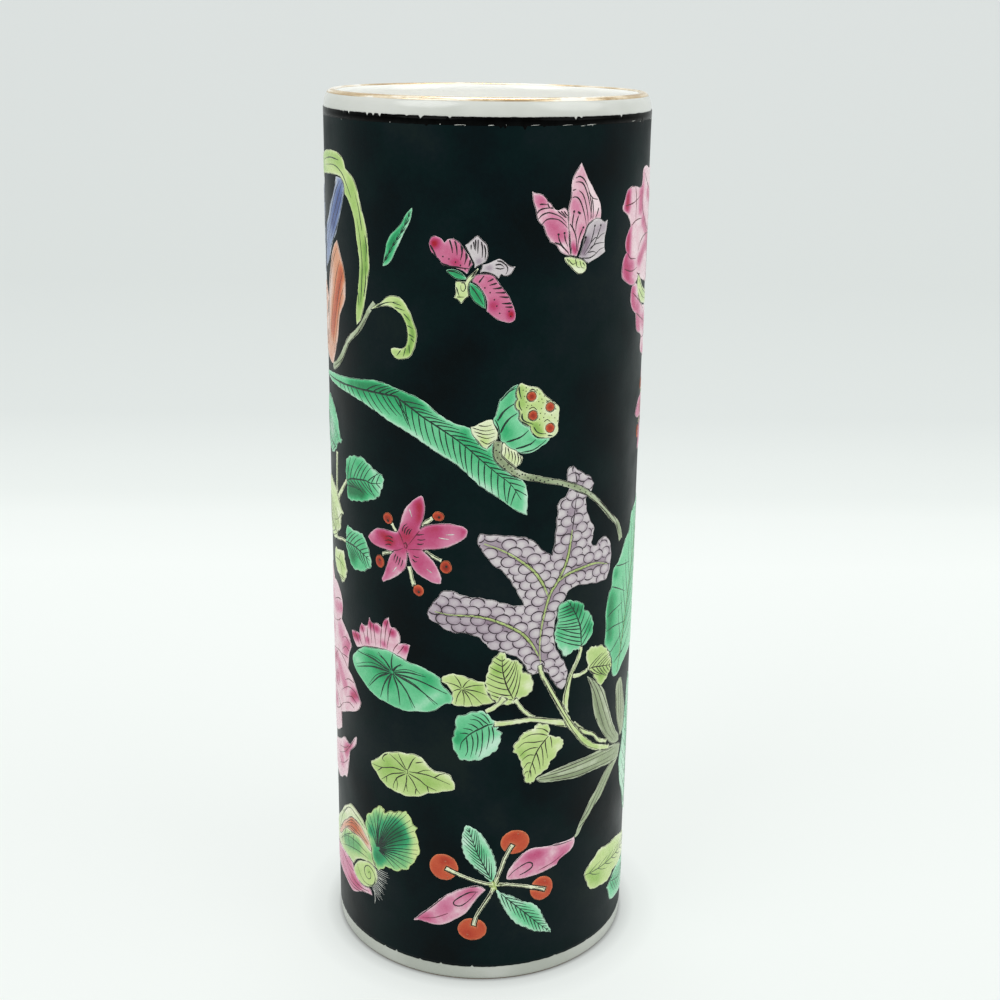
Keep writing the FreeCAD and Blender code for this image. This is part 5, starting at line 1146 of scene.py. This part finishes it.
        (-68.7, 29.2, -72, 30.4, -80, 31.4), (-56, 34.4, -60, 34.4, -64, 33.8),
        (-66, 43.6, -70, 43.4, -76, 42.6), (-76, 40, -84, 39.6, -90, 37.8, -93.4, 34.8, -92.6, 31.4),
        (-78, 36.2, -84, 35.4, -88, 33.2, -87.6, 30.8), (-84, 39.6, -86.4, 41.6, -85.6, 43.6),
        (-72, 36.6, -76.6, 35.2, -77, 33, -73, 32, -70.4, 33), (-66, 30.6, -73, 29, -82, 28.4, -90, 29.2),
        (-93, 36.6, -97, 38.4, -99.6, 40), (-92.4, 31.6, -97, 31, -102, 32),
        (-80, 31.4, -84, 31, -87.6, 31.4), (-84, 28.4, -86, 25.8, -90, 24.4),
        (-75, 34.4, -74, 33.4, -72.6, 33.6)))],
    "rose_low_petal": [("rose", 0.3, drawn(
        (-56, 27.2, -60.6, 25.6, -66, 24.2, -74, 23), (-61.6, 25.6, -65, 24.9, -72, 24.2),
        (-62, 23.8, -66, 22.8, -73, 21.8)))],
    "tall_leaf": [
        ("green", 0.42, drawn(
            (52, 47, 58, 46.2, 66, 45), (52, 43.2, 56, 43.6, 64, 43.9), (52, 41.5, 58, 41.6, 68, 41.1),
            (55, 38.6, 60, 39.4, 67, 40.8), (56, 49, 62, 48.6, 70, 48.2), (58, 37, 64, 37.6, 70, 38),
            tall_spine)),
        ("green", 0.36, ribs(tall_spine, 9, -46, 16, 2, 0.1, 0.9)
            + ribs(tall_spine, 9, 40, 15, 4, 0.16, 0.9)),
        ("lime", 0.26, beside(drawn(tall_spine), 0.6)),
    ],
    "shore_leaf": [
        ("green", 0.4, drawn(shore_spine)),
        ("green", 0.3, paired(shore_spine, 9, 42, 13, 4)),
    ],
    "corner_teal_leaf": [
        ("green", 0.36, drawn(teal_spine)),
        ("green", 0.28, paired(teal_spine, 8, 40, 8, 4)),
    ],
    "floating_pad": [
        ("brown", 0.42, drawn(
            (-28.9, 26.1, -34.4, 26.1, -39.6, 25.6, -45, 25.5), (-39.6, 25.6, -42, 24.9),
            (-28.8, 26.3, -32.2, 27.1, -36, 27.7), (-28.6, 26.4, -30.6, 27.4, -31.9, 28.1),
            (-27.8, 26.4, -26, 27.6, -24.6, 28.2), (-24.6, 27.5, -21.6, 27.8),
            (-27.2, 26.2, -21.4, 26.3, -17.3, 26.1, -11.3, 25.5), (-17.3, 26.1, -15, 26.6, -12.8, 26.8),
            (-27.4, 25.95, -23.3, 25.5, -20.3, 24.9, -16.4, 24.5), (-20, 24.9, -19.4, 24.1),
            (-27.8, 25.8, -25.6, 25, -24.2, 24.2, -22.8, 23.7), (-24.4, 24.3, -24.8, 23.5),
            (-28.2, 25.7, -28.6, 24.6, -29.7, 23.4), (-28.8, 25.8, -32.4, 25, -34, 24.1, -34.3, 23.5),
            (-29.2, 25.9, -34.6, 25.3, -37.4, 24.7, -39.8, 24.1),
            (-36.8, 27.6, -38.6, 27.2, -39.4, 26.7, -38.2, 26.5))),
        ("brown", 0.3, drawn(
            (-28.8, 26.3, -28.1, 26.4, -27.8, 26, -28.4, 25.8, -28.9, 26.1),
            (-33, 25, -32.4, 24.2, -32.8, 23.4), (-28.6, 24.6, -28, 23.6), (-37.4, 24.7, -37.4, 23.9),
            (-24, 26.3, -21, 26.8, -18.6, 26.9))),
    ],
    "shell_fan": [("green", 0.4, rays(
        -42.6, 14.6, -49, 17.8, -47, 18.6, -45, 19.4, -43, 20.1, -41, 20.3, -39.4, 20, -36.6, 20.1,
        -34.4, 20.4, -32.4, 20.6, -30.4, 20.7, -28.6, 20.6, -27, 20, -26, 19.4, -24.6, 18.9, -24.8, 18,
        -24, 17.2, -23.8, 16.4, -24.2, 15.8, -25.2, 15.1, -26.6, 14.4, -28.4, 13.7, -31, 13.3, -34, 13,
        sag=0.04))],
    "shell_body": [("green", 0.3, drawn(
        (-50, 16.4, -56, 17.2, -62, 17.4, -70, 15.6), (-49, 13.2, -56, 13.6, -64, 13.2, -72, 11.6),
        (-48, 12.6, -55, 12.6, -63, 12, -72, 10.8), (-44, 12.6, -46, 13.6, -47.6, 15),
        (-64, 17, -70, 15.2, -76, 12.4), (-60, 14.2, -67, 12.9, -75, 11),
        (-70, 13.4, -72, 12.4, -71.6, 11.2), (-66, 14, -68, 12.8, -67.4, 11.6),
        (-62, 14.4, -63.4, 13.2, -62.8, 12), (-58, 14.6, -59, 13.4, -58.4, 12.2)))],
    "shell_frill": [("brown", 0.3, drawn(
        (-48, 14.5, -53, 15.3, -58, 15.8, -64, 15), (-50, 14.6, -55, 15, -61, 15, -68, 13.8),
        (-54, 15.9, -60, 16, -67, 14.4), (-57, 14.8, -63, 14.6, -70, 13.2)))],
    "shell_spiral": [("green", 0.36, drawn(
        (-48.4, 10.6, -47.6, 10.9, -46.8, 10.6, -47, 10.1, -48.4, 9.8, -50.2, 10.1, -50.8, 10.8, -49.6, 11.4,
         -47.4, 11.6, -45, 11.1, -44.2, 10.3, -45.6, 9.4, -48.6, 9, -52, 9.2, -54.8, 10, -56, 10.8)))],
    "shell_foot": [("rose", 0.32, drawn(
        (-48, 8.1, -54, 7.9, -60, 8.2, -68, 9.6), (-50, 7.7, -56, 7.4, -63, 7.5, -72, 8.4),
        (-54, 7.2, -60, 6.9, -68, 7.2), (-58, 9.2, -64, 9.4, -72, 10)))],
    "berry_stalks": [("brown", 0.24, drawn(
        (3.6, 13.2, -2, 13.7, -8, 14.4, -12, 15), (2.4, 12.7, -4, 13.2, -9, 13.8),
        (6.4, 13.8, 7.4, 15.4, 9.4, 17), (7, 12.8, 13, 12.8, 19, 12.2), (7, 12.3, 13, 12.2, 18, 11.8),
        (4.2, 11.8, 1.4, 10.4, -1.6, 8.6)))],
    "berry_leaves": [
        ("green", 0.42, drawn(berry_high_spine, berry_low_spine)),
        ("green", 0.34, paired(berry_high_spine, 11, 28, 6.5, 2) + paired(berry_low_spine, 11, 28, 6, 2)),
    ],
    "berry_petals": [
        ("black", 0.5, drawn(
            (14.6, 13.8, 17, 14.1, 19.4, 14.6, 19.4, 15.1, 17.8, 15.3, 14.8, 14.9, 12, 14.3, 10.4, 13.7),
            (-0.8, 11.9, -4, 11.8, -8, 11, -9.8, 10.4, -9.4, 10, -7, 10, -4, 10.8, -1.6, 11.8))),
        ("black", 0.3, drawn(
            (12, 15.9, 16, 16.8, 22, 17, 30, 16.7, 36.6, 16.7),
            (-1, 12.6, -6, 12.3, -12, 11.3, -18, 9.4, -25, 7.2))),
        ("rose", 0.3, drawn((22, 14, 28, 14.6, 33, 15.4), (-12, 8.8, -17, 8, -22, 7.6))),
    ],
    "corner_leaf": [
        ("green", 0.34, drawn(corner_spine)),
        ("green", 0.28, paired(corner_spine, 8, 36, 7)),
    ],
    "butterfly_rose_wings": [("black", 0.52, drawn(
        (-11.9, 86.3, -11.2, 85.6, -10.9, 85), (-10.2, 86.2, -9.6, 85.6, -9.4, 84.8),
        (-8.2, 85.8, -7.8, 85.1, -8.3, 84.3), (-6.6, 85.2, -6.4, 84.6, -7, 83.9),
        (-5.4, 84.7, -5.2, 84.2, -5.6, 83.7), (2.5, 82.5, 0.5, 82.2), (4.1, 82.1, 1.1, 81.85),
        (5.8, 81.6, 2.2, 81.5), (7, 81.1, 3.1, 81.1), (7.6, 80.6, 4.4, 80.7), (8.4, 80, 5.2, 80),
        (9.3, 79.6, 6.3, 79.66), (-2.3, 82.1, -0.6, 82.8), (-18.4, 85.7, -14.6, 84, -9, 83.6, -5.6, 83.5),
        (0.6, 79.4, 0, 80.6, -1.8, 81.5, -3.6, 82)))],
    "butterfly_lilac_wings": [("black", 0.42, drawn(
        (-4.8, 85.9, -4.9, 85.4), (-4.1, 86.2, -3.7, 85.4), (-3.4, 86.4, -3.4, 85.3),
        (-2.6, 86.4, -2.7, 85), (-1.6, 86.2, -1.2, 85.5, -1.3, 84.6), (-0.7, 85.9, -0.2, 85.2, -0.4, 84.4),
        (2.9, 83.9, 4.6, 83.95, 5.8, 83.7), (3, 83.6, 4.6, 83.5, 6, 83.6),
        (3.5, 84.3, 5, 84.2, 6.6, 83.8, 7, 83.4, 6.4, 82.95)))],
    "butterfly_green_wings": [("black", 0.34, drawn(
        (-12.8, 83.2, -10, 83.1, -7, 82.7), (-5.2, 81.9, -3, 81, -0.8, 79.9)))],
    "butterfly_body": [("black", 0.3, drawn(
        (-8, 82, -7, 82, -6.6, 81.6, -7.2, 81.2, -8, 81.3, -8.2, 81.8), (-9.6, 81.6, -8.6, 80.6),
        (-9.4, 80.6, -7, 80.6), (-4.8, 82.6, -2.4, 83.5)))],
    "moth_pink_wings": [("black", 0.42, drawn(
        (17.2, 89.85, 18.6, 89.85, 20, 89.8), (19.9, 90.5, 20.1, 89.8, 20.9, 89.45, 22.3, 89.6),
        (16.4, 88.95, 17.4, 89.3, 19.4, 89.45, 21.8, 89.4, 24, 89, 26.6, 88.4),
        (16.9, 88.4, 18.2, 88.8, 20.4, 89, 22.8, 88.8, 24.8, 88.5, 26.8, 87.9),
        (18.2, 87.9, 19.6, 88.3, 21.2, 88.4, 24, 88.25, 26, 87.8, 27.3, 87.4),
        (24, 89.3, 25.4, 88.9, 26.9, 88.4), (25.9, 89.1, 26.5, 88.8, 27.2, 88.6),
        (24, 86.7, 24.4, 86.2, 25.6, 85.6, 28, 84.9), (26.2, 86.8, 26.6, 86.2, 27.6, 85.5),
        (22.8, 86, 24.6, 85.8, 26, 85.4, 28.3, 84.7),
        (28.2, 87.8, 29.4, 87.3, 30.6, 86.4, 30.9, 85.4, 30.7, 84.8),
        (29.9, 92.3, 31.4, 92.45, 33, 92.2, 34.4, 91.6, 35.3, 91),
        (29.9, 91.9, 31.6, 91.9, 33.2, 91.6, 34.8, 90.6, 36, 89.4, 36.8, 88.2),
        (31.4, 91.05, 33, 90.6, 34.3, 89.6, 35.2, 88.4, 35.3, 87.6), (28.9, 91.1, 30.2, 91.2),
        (28.4, 90.3, 29.8, 90.45, 31.3, 90.25, 32.6, 89.6, 34, 88.4, 34.8, 87.3),
        (35.3, 91, 35.6, 90.7, 37.2, 90.2, 39.2, 90.05), (36.7, 90.3, 37.4, 89.2, 37.3, 88.1),
        (35.8, 90.5, 36.6, 89.4, 36.3, 88.1), (39.8, 89.2, 39, 88.5, 38, 88),
        (29.6, 88.9, 29.2, 88.2, 29.1, 87.6, 29.5, 87.1), (31.5, 88.6, 30.6, 87.8, 30.4, 86.9),
        (33.3, 87.3, 32.2, 86.6, 31.5, 85.8, 31.4, 85)))],
    "moth_lilac_wing": [("black", 0.36, drawn(
        (38.3, 87.3, 37.6, 86.5, 36.4, 85.6, 34, 84.6), (41, 87.3, 39.6, 86.3, 37.6, 85.3, 34.4, 84.5),
        (34.7, 86.2, 33.7, 85.5, 33, 84.8), (36.6, 85.7, 38.6, 86.2, 39.8, 86.1, 41.2, 86.4, 43, 86.6),
        (36.2, 85.1, 38.4, 85.5, 40.4, 85.6, 42.8, 85.6), (35.6, 84.75, 38, 84.8, 39.4, 84.6),
        (33.2, 84.25, 36.4, 84.2, 38.8, 84.5, 41, 84.95, 43, 85.1)))],
    "moth_body": [("black", 0.28, drawn(
        (28, 84.2, 29.6, 83.7, 31.4, 83.9), (30.6, 84.2, 31.4, 83.4, 32.6, 83.3), (27.4, 84.3, 28.2, 83.9),
        (33.6, 83.8, 34.6, 83.4), (32.4, 84, 33.2, 83.3, 34.4, 83.2)))],
    "peony_petals": [("rose", 0.4, drawn(
        (58.4, 86.8, 62.9, 87.3, 69.1, 87.3),
        (67.4, 90.3, 68.3, 88.7, 70.8, 87.5, 75.3, 86.3, 81.5, 85.6, 92, 85.3),
        (65.2, 83.9, 68, 84.9, 73.6, 85.4, 80.9, 85.3, 92, 84.9), (56.7, 84, 59, 83.4, 63.5, 83.2),
        (65.2, 81.6, 69.1, 81.3), (54, 89, 60, 89.2, 66, 89.8), (55, 82.4, 60, 82, 65, 82.2),
        (62, 79.6, 68, 78.6, 76, 77.2), (66.4, 77.2, 72, 76.4, 80, 75.6), (75, 74, 82, 74, 90, 74.4),
        (70, 92, 76, 90.6, 86, 89.6, 95, 88.2, 99, 85.6), (92, 85.2, 98, 84.2, 102, 81.6, 103, 78.8),
        (92, 84.9, 96, 82, 97, 78.6), (81, 85.6, 84, 87.4, 84, 89.6),
        (74, 79.4, 82, 80.6, 90, 80.2, 97, 78.4), (80, 84.9, 82, 82.8, 81, 80.6),
        (60, 91.8, 62, 89.6, 62, 87.4)))],
    "peony_calyx": [("brown", 0.3, drawn((68, 80.8, 74, 79.4, 84, 78.4), (68, 79.8, 74, 78.6, 82, 78)))],
}
dotted = {
    "pod_face": [("brown", 0.24, (
        13.8, 71.2, 13.8, 70.85, 15.9, 71.03, 12.8, 70.97, 13.3, 70.3, 13.9, 69.7, 14.5, 69.3, 15.8, 69.3,
        14.1, 69.1, 18.6, 70.46, 20.3, 70.2, 19.4, 69.9, 18.3, 69.67, 19.8, 69.5, 21.2, 69.7, 19.3, 68.9,
        19, 68.4, 20.6, 68.3, 23.1, 68.1, 20.2, 67.9, 18.7, 67.76, 24.3, 67.76, 18.8, 67.15, 25.4, 67.4,
        24.6, 68.7, 17.6, 70.9))],
    "pod_cup": [("green", 0.3, (15.7, 65.1, 4.4, 67.9))],
    "pod_stem": [("black", 0.3, (
        3.2, 63.7, 4.7, 63.2, 7, 62.6, 9, 62.7, 11.2, 62, 13, 61.9, 15, 61.5, 17, 61.2, 19.4, 61.1,
        22.4, 61, 26, 60.5, 30.4, 60.1, 35.4, 59.4, 40.4, 58.6, 4.6, 65.2, 4, 64.6, 5, 64.4, 4.4, 63.8,
        5.6, 63.6, 6.6, 62.9, 8, 63, 9.4, 62.3, 10.4, 62.5, 12, 61.8, 14, 61.8, 16, 61.3, 18, 61.4,
        21, 60.9, 24, 61, 28, 60.3, 33, 59.9, 38, 59))],
    "butterfly_rose_wings": [("black", 0.32, (
        -14.1, 84.6, -12.1, 84.4, -9.9, 84.1, -8.3, 83.8, -6.7, 83.45, -0.3, 81.6, 1.4, 81.1, 2.8, 80.4,
        3.6, 79.75, 4.6, 79, 7.6, 79.2, 8.2, 78.7))],
    "moth_pink_wings": [("black", 0.5, (
        24, 86.8, 26.2, 86.9, 29.6, 89, 31.4, 88.9, 31.9, 88.8, 33.4, 87.35))],
    "moth_lilac_wing": [("black", 0.46, (38.3, 87.4, 41, 87.4, 34.7, 86.3))],
    "lily_buds": [("brown", 0.55, (-35.4, 55.7, -15.4, 57, -39.4, 50.9, -12.8, 51.5, -23, 48.2))],
    "berries": [("red", 0.5, (-13, 15.6, -12.2, 13.6, 13.8, 19.2, 24.8, 12.4, -4.6, 6.2))],
}
# Strokes that lie on the black ground itself
ground_strokes = {
    "berry_stalks": [("lime", 0.9, drawn(
        (4, 12, 5.4, 12.7, 6.8, 13.3), (4.2, 13.3, 5.2, 12.7, 6.4, 11.9), (3.4, 12.6, 7.2, 12.7),
        (5.2, 12, 5.5, 13.6)))],
    "shell_spiral": [
        ("white", 0.26, drawn(*[
            (-43.4 - 0.2 * n, 11.9 - 0.2 * n, -40.8 - 0.2 * n, 11.9 - 0.25 * n,
             -37.6 + 0.7 * (n % 3) - 0.3 * n, 11.9 - 0.28 * n) for n in range(16)])),
        ("white", 0.34, drawn(
            (-42.6, 10.8, -40, 10.7), (-43, 10.2, -40.4, 9.9), (-43.6, 9.6, -41.4, 9.1),
            (-45, 8.8, -44.6, 7.6, -44.9, 6.9))),
    ],
}

# The fine line inside each outline: its ink, width and inset in mm, and how little of it is lifted
edges = {
    "berry_stalks": ("brown", 0.36, 0.34, -0.6), "lily_stalks": ("brown", 0.34, 0.3, -0.6),
    "spray_stems": ("brown", 0.24, 0.24, -0.3), "side_stems": ("brown", 0.3, 0.3, -0.4),
    "pod_stem": ("brown", 0.3, 0.26, -0.3), "iris_stem": ("brown", 0.3, 0.26, -0.3),
    "grass_blades": ("brown", 0.24, 0.3, -0.1), "scaled_leaf": ("violet", 0.3, 0.24, -0.5),
    "pod_seeds": ("red", 0.3, 0.3, -0.6), "berries": ("red", 0.4, 0.45, -0.1),
    "moth_pink_wings": ("black", 0.28, 0.22, -0.25), "moth_lilac_wing": ("black", 0.28, 0.22, -0.25),
    "butterfly_rose_wings": ("black", 0.26, 0.22, -0.2),
    "butterfly_lilac_wings": ("black", 0.28, 0.22, -0.25),
    "butterfly_green_wings": ("black", 0.36, 0.3, -0.6), "butterfly_body": ("brown", 0.26, 0.24, -0.3),
    "moth_body": ("brown", 0.26, 0.24, -0.3), "pod_face": ("brown", 0.24, 0.22, -0.2),
    "peony_petals": ("rose", 0.2, 0.24, 0.1), "rose_head": ("rose", 0.2, 0.24, 0.1),
    "lotus_flower": ("rose", 0.26, 0.22, -0.1), "lily_petals": ("rose", 0.24, 0.24, 0.0),
}

skip = {"wall_body", "base_disc", "foot_ring", "outer_glaze", "inner_glaze", "underside_glaze",
        "black_ground", "gilt_rim"}
slots = {part["node"]: part["material_slot"] for part in frame["record"]["subparts"]}
regions = {node: node_regions(node) for node in frame["nodes"] if node not in skip}
for node in regions:
    enamel_piece(node, slots[node], washes[node])
    for ink, width, strokes in drawings.get(node, []):
        line_piece(node, ink, width, strokes, [])
    for ink, radius, places in dotted.get(node, []):
        line_piece(node, ink, radius, [], places)
    edge_piece(node, *edges.get(node, ("black", 0.2, 0.24, -0.05)))
    for ink, width, strokes in ground_strokes.get(node, []):
        line_piece(node, ink, width, strokes, [], on_ground=True)


# The potted body

COLUMNS = 512
WALL_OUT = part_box("wall_body")[1].x
WALL_IN = WALL_OUT - 4.3 * MM
FOOT_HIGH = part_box("foot_ring")[1].z
FOOT_IN = 43.1 * MM
FLOOR_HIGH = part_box("base_disc")[1].z
GLAZE = RADIUS - 0.15 * MM - WALL_OUT
# The lip's quarter ellipses outwards and inwards of its crest, wide and high, and the steps of each
LIP_OUT = (2.6 * MM, 4.6 * MM)
LIP_IN = (1.7 * MM, 2.2 * MM)
CROWN = 12
INWARD = 10
BORDER = 2.4 * MM
# How far the raw edges of the thin coats stand over or under the coat that they lie on
EDGE = 0.02 * MM


def quarter(count):
    """The turns of a quarter circle in equal steps."""
    return [pi / 2 * number / count for number in range(count + 1)]


def lathe(name, profile, material, slot, *nodes, ragged=()):
    """A closed turned piece from a profile of (radius, height); some of its rings have ragged heights."""
    vertices, faces = [], []
    count = len(profile)
    for column in range(COLUMNS):
        turn = 2 * pi * column / COLUMNS
        for number, (radius, height) in enumerate(profile):
            if number in ragged:
                height += nick(turn * RADIUS, height)
            vertices.append((radius * sin(turn), -radius * cos(turn), height))
        after = (column + 1) % COLUMNS
        for number in range(count):
            following = (number + 1) % count
            faces.append((column * count + number, after * count + number,
                          after * count + following, column * count + following))
    mesh_piece(name, vertices, faces, material, slot, *nodes)


def nick(along, height):
    """How far the ground's edge strays from its line: small waves and now and then a bare nick."""
    wave = 0.12 * MM * wavering(along, height, 1.3 * MM, 0.6)
    deep = wavering(along, height, 0.9 * MM, 0.8)
    inward = -1 if height > HEIGHT / 2 else 1
    return wave + inward * 0.9 * MM * max(deep - 0.42, 0) / 0.3


def lip(out):
    """The profile over the lip, from the outer wall to the bore, a coat's thickness out of the clay."""
    middle = WALL_OUT - LIP_OUT[0]
    return [
        (middle + (LIP_OUT[0] + out) * cos(turn), HEIGHT - LIP_OUT[1] + (LIP_OUT[1] + out) * sin(turn))
        for turn in quarter(CROWN)
    ] + [
        (middle - (LIP_IN[0] + out) * sin(turn), HEIGHT - LIP_IN[1] + (LIP_IN[1] + out) * cos(turn))
        for turn in quarter(INWARD)[1:]
    ]


def floor_corner(out, round_radius):
    """The bore's foot, rounding into the floor."""
    return [(WALL_IN - out - round_radius + round_radius * cos(turn),
             FLOOR_HIGH + out + round_radius - round_radius * sin(turn)) for turn in quarter(6)]


def off_wall(*places):
    """Profile points as mm out of the clay's wall, and mm up."""
    return [(WALL_OUT + out * MM, up * MM) for out, up in places]


# In each pair the darker tone is painted shade at the foot and the bore's floor, and the lighter is the glaze
# higher up
glaze = glaze_shader("clear_glaze", (173, 177, 167), (210, 211, 205))
inner_glaze = glaze_shader("inner_glaze", (240, 240, 234), (246, 246, 241))
stain = line_shader("foot_stain", (150, 118, 92), 0.6)
bisque = bisque_shader()
lathe("tube_clay", [(WALL_OUT, FOOT_HIGH)] + lip(0) + [(WALL_IN, FOOT_HIGH)],
      bisque, "porcelain", "wall_body")
lathe("outer_glaze_coat",
      off_wall((-0.2, 0.55), (-0.1, 0.45))
      + [(WALL_OUT + 0.7 * GLAZE, 0.8 * MM), (WALL_OUT + GLAZE, 1.5 * MM)]
      + [(WALL_OUT + GLAZE, HEIGHT * share) for share in (0.25, 0.5, 0.75)]
      + lip(GLAZE)[:CROWN + 1] + lip(0)[:CROWN + 1][::-1], glaze, "clear_glaze", "outer_glaze")
lathe("inner_glaze_coat",
      lip(GLAZE)[CROWN:] + floor_corner(GLAZE, 2.5 * MM)
      + [(0.01 * MM, FLOOR_HIGH + GLAZE), (0.01 * MM, FLOOR_HIGH), (WALL_IN, FLOOR_HIGH)]
      + lip(0)[CROWN:][::-1], inner_glaze, "clear_glaze", "inner_glaze")
lathe("foot_stain_line", off_wall((-0.3, 0.62), (-0.02, 0.66), (-0.3, 0.12), (-0.7, 0.06)),
      stain, "porcelain")
lathe("foot_clay",
      [(WALL_OUT, FOOT_HIGH)] + off_wall((0, 1.2), (-0.12, 0.6), (-0.45, 0.15), (-1, 0))
      + [(FOOT_IN + 1.2 * MM, 0), (FOOT_IN + 0.5 * MM, 0.2 * MM), (FOOT_IN, 0.9 * MM), (FOOT_IN, FOOT_HIGH)],
      bisque, "porcelain", "foot_ring")
for node, material in (("base_disc", bisque), ("underside_glaze", glaze)):
    materials = frame["nodes"][node].data.materials
    materials.clear()
    materials.append(material)

bands = [GROUND_LOW + (GROUND_HIGH - GROUND_LOW) * number / 12 for number in range(1, 12)]
lathe("ground_coat",
      [(WALL_OUT + 0.5 * GLAZE, GROUND_LOW), (RADIUS - EDGE, GROUND_LOW), (RADIUS, GROUND_LOW + 1.2 * MM)]
      + [(RADIUS, height) for height in bands]
      + [(RADIUS, GROUND_HIGH - 1.2 * MM), (RADIUS - EDGE, GROUND_HIGH)]
      + [(WALL_OUT + 0.5 * GLAZE, GROUND_HIGH)],
      ground_shader(), "black_enamel", "black_ground", ragged=(0, 1, 15, 16))
lathe("border_coat",
      [(RADIUS - 0.03 * MM, GROUND_HIGH - BORDER), (RADIUS + 0.03 * MM, GROUND_HIGH - BORDER),
       (RADIUS + 0.04 * MM, GROUND_HIGH - BORDER / 2), (RADIUS + EDGE, GROUND_HIGH),
       (RADIUS - 0.05 * MM, GROUND_HIGH)], border_shader(), "black_enamel", ragged=(0, 1, 3, 4))


def flecks():
    """Small bare specks where the border's black has lifted off the glaze."""
    dice = random.Random(11)
    vertices, faces = [], []
    for number in range(30):
        along = radians(dice.uniform(0, 360)) * RADIUS
        up = GROUND_HIGH - BORDER + dice.gauss(0, 0.2) * MM
        if number % 2:
            dot_mesh((along, up), 0.05 * MM, dice.uniform(0.07, 0.16) * MM, vertices, faces)
            continue
        line = bent([
            (along + step * dice.uniform(0.5, 1.1) * MM, up + 0.05 * step * MM) for step in range(4)])
        ridge_mesh(line, [0.04 * MM] * len(line), dice.uniform(0.12, 0.26) * MM, vertices, faces)
    mesh_piece("bare_flecks", vertices, faces, glaze, "clear_glaze")


flecks()
# The worn gold is a thin skin over part of the lip's profile
gilt = slice(7, 17)
lathe("worn_gilt", lip(GLAZE + 0.03 * MM)[gilt] + lip(GLAZE - 0.03 * MM)[gilt][::-1],
      gilt_shader(), "gilding", "gilt_rim")


# The room

def make_camera():
    """The photograph's view, fitted to both rims and both sides of the cylinder."""
    away, above = 9.4579 * RADIUS, 6.0643 * RADIUS
    pitch, roll, yaw = 0.3121, 0.0130, 0.0113
    ahead = Vector((sin(yaw) * cos(pitch), cos(yaw) * cos(pitch), -sin(pitch)))
    right = ahead.cross(Vector((0, 0, 1))).normalized()
    up = right.cross(ahead)
    level_right = cos(roll) * right + sin(roll) * up
    level_up = -sin(roll) * right + cos(roll) * up
    data = bpy.data.cameras.new("camera")
    data.lens, data.sensor_width = 54, 36
    data.clip_start, data.clip_end = 0.01, 50
    camera = bpy.data.objects.new("camera", data)
    bpy.context.scene.collection.objects.link(camera)
    turn = Matrix((level_right, level_up, -ahead)).transposed()
    camera.matrix_world = Matrix.Translation((0, -away, above)) @ turn.to_4x4()
    bpy.context.scene.camera = camera


def lamp(name, place, target, size, power):
    data = bpy.data.lights.new(name, "AREA")
    data.shape, data.size, data.energy = "DISK", size, power
    thing = bpy.data.objects.new(name, data)
    thing.location = place
    thing.rotation_euler = (Vector(target) - Vector(place)).to_track_quat("-Z", "Y").to_euler()
    bpy.context.scene.collection.objects.link(thing)


def backdrop():
    """A sweep: flat floor, rounding up into a wall far behind. It glows a little as painted light, brighter
    on the floor than up the wall, with a painted contact shadow round the foot.
    """
    half, behind, rise, bend = 3.0, 0.95, 2.6, 0.6
    profile = [(-3.0, 0.0)]
    profile += [(behind - bend + bend * sin(turn), bend - bend * cos(turn)) for turn in quarter(12)]
    profile.append((behind, rise))
    vertices = [(side * half, y, z) for side in (-1, 1) for y, z in profile]
    count = len(profile)
    faces = [(n, count + n, count + n + 1, n + 1) for n in range(count - 1)]
    shader = Shader("backdrop")
    x, y, z = shader.add("ShaderNodeSeparateXYZ", {0: shader.place}).outputs
    # Painted light: the sweep's glow, brightest on the floor and darker up the wall
    glow = shader.ramp(
        shader.spread(z, 0, 1, -0.02, 0.34), (0.0, (227, 230, 227)), (0.045, (220, 224, 221)),
        (0.085, (203, 208, 205)), (0.16, (189, 194, 192)), (0.36, (182, 187, 185)), (1.0, (184, 188, 187)))
    level_place = shader.add("ShaderNodeCombineXYZ", {"X": x, "Y": y}).outputs[0]
    away = shader.add("ShaderNodeVectorMath", {0: level_place}, operation="LENGTH").outputs["Value"]
    # A painted contact shadow: the glow is cut down close round the foot
    greys = ((0.0, 0.12), (0.12, 0.66), (0.4, 0.9), (0.95, 1))
    shade = shader.ramp(
        shader.spread(away, 0, 1, 0.98 * RADIUS, 1.3 * RADIUS),
        *[(share, (level, level, level, 1)) for share, level in greys])
    # The glow is also painted a little darker at the front of the floor than behind it, as shade
    shader.set(
        Base_Color=srgb(122, 124, 123), Roughness=0.8, Specular_IOR_Level=0.1, Emission_Color=glow,
        Emission_Strength=shader.math("MULTIPLY", shade, shader.spread(y, 0.96, 1.04, -0.25, 0.4)))
    thing = mesh_object("backdrop", vertices, faces, shader.material)


def make_world():
    world = bpy.data.worlds.new("world")
    bpy.context.scene.world = world
    world.use_nodes = True
    world.node_tree.nodes["Background"].inputs["Color"].default_value = srgb(232, 236, 236)
    world.node_tree.nodes["Background"].inputs["Strength"].default_value = 0.6


make_camera()
backdrop()
make_world()
lamp("key", (-0.9, -0.8, 1.3), (0, 0, 0.15), 1.1, 12)
lamp("fill", (1.1, -0.5, 1.0), (0, 0, 0.15), 1.2, 9)
lamp("back", (0, 0.75, 1.7), (0, 0, 0.28), 0.8, 9)
bpy.context.scene.view_settings.view_transform = "Standard"
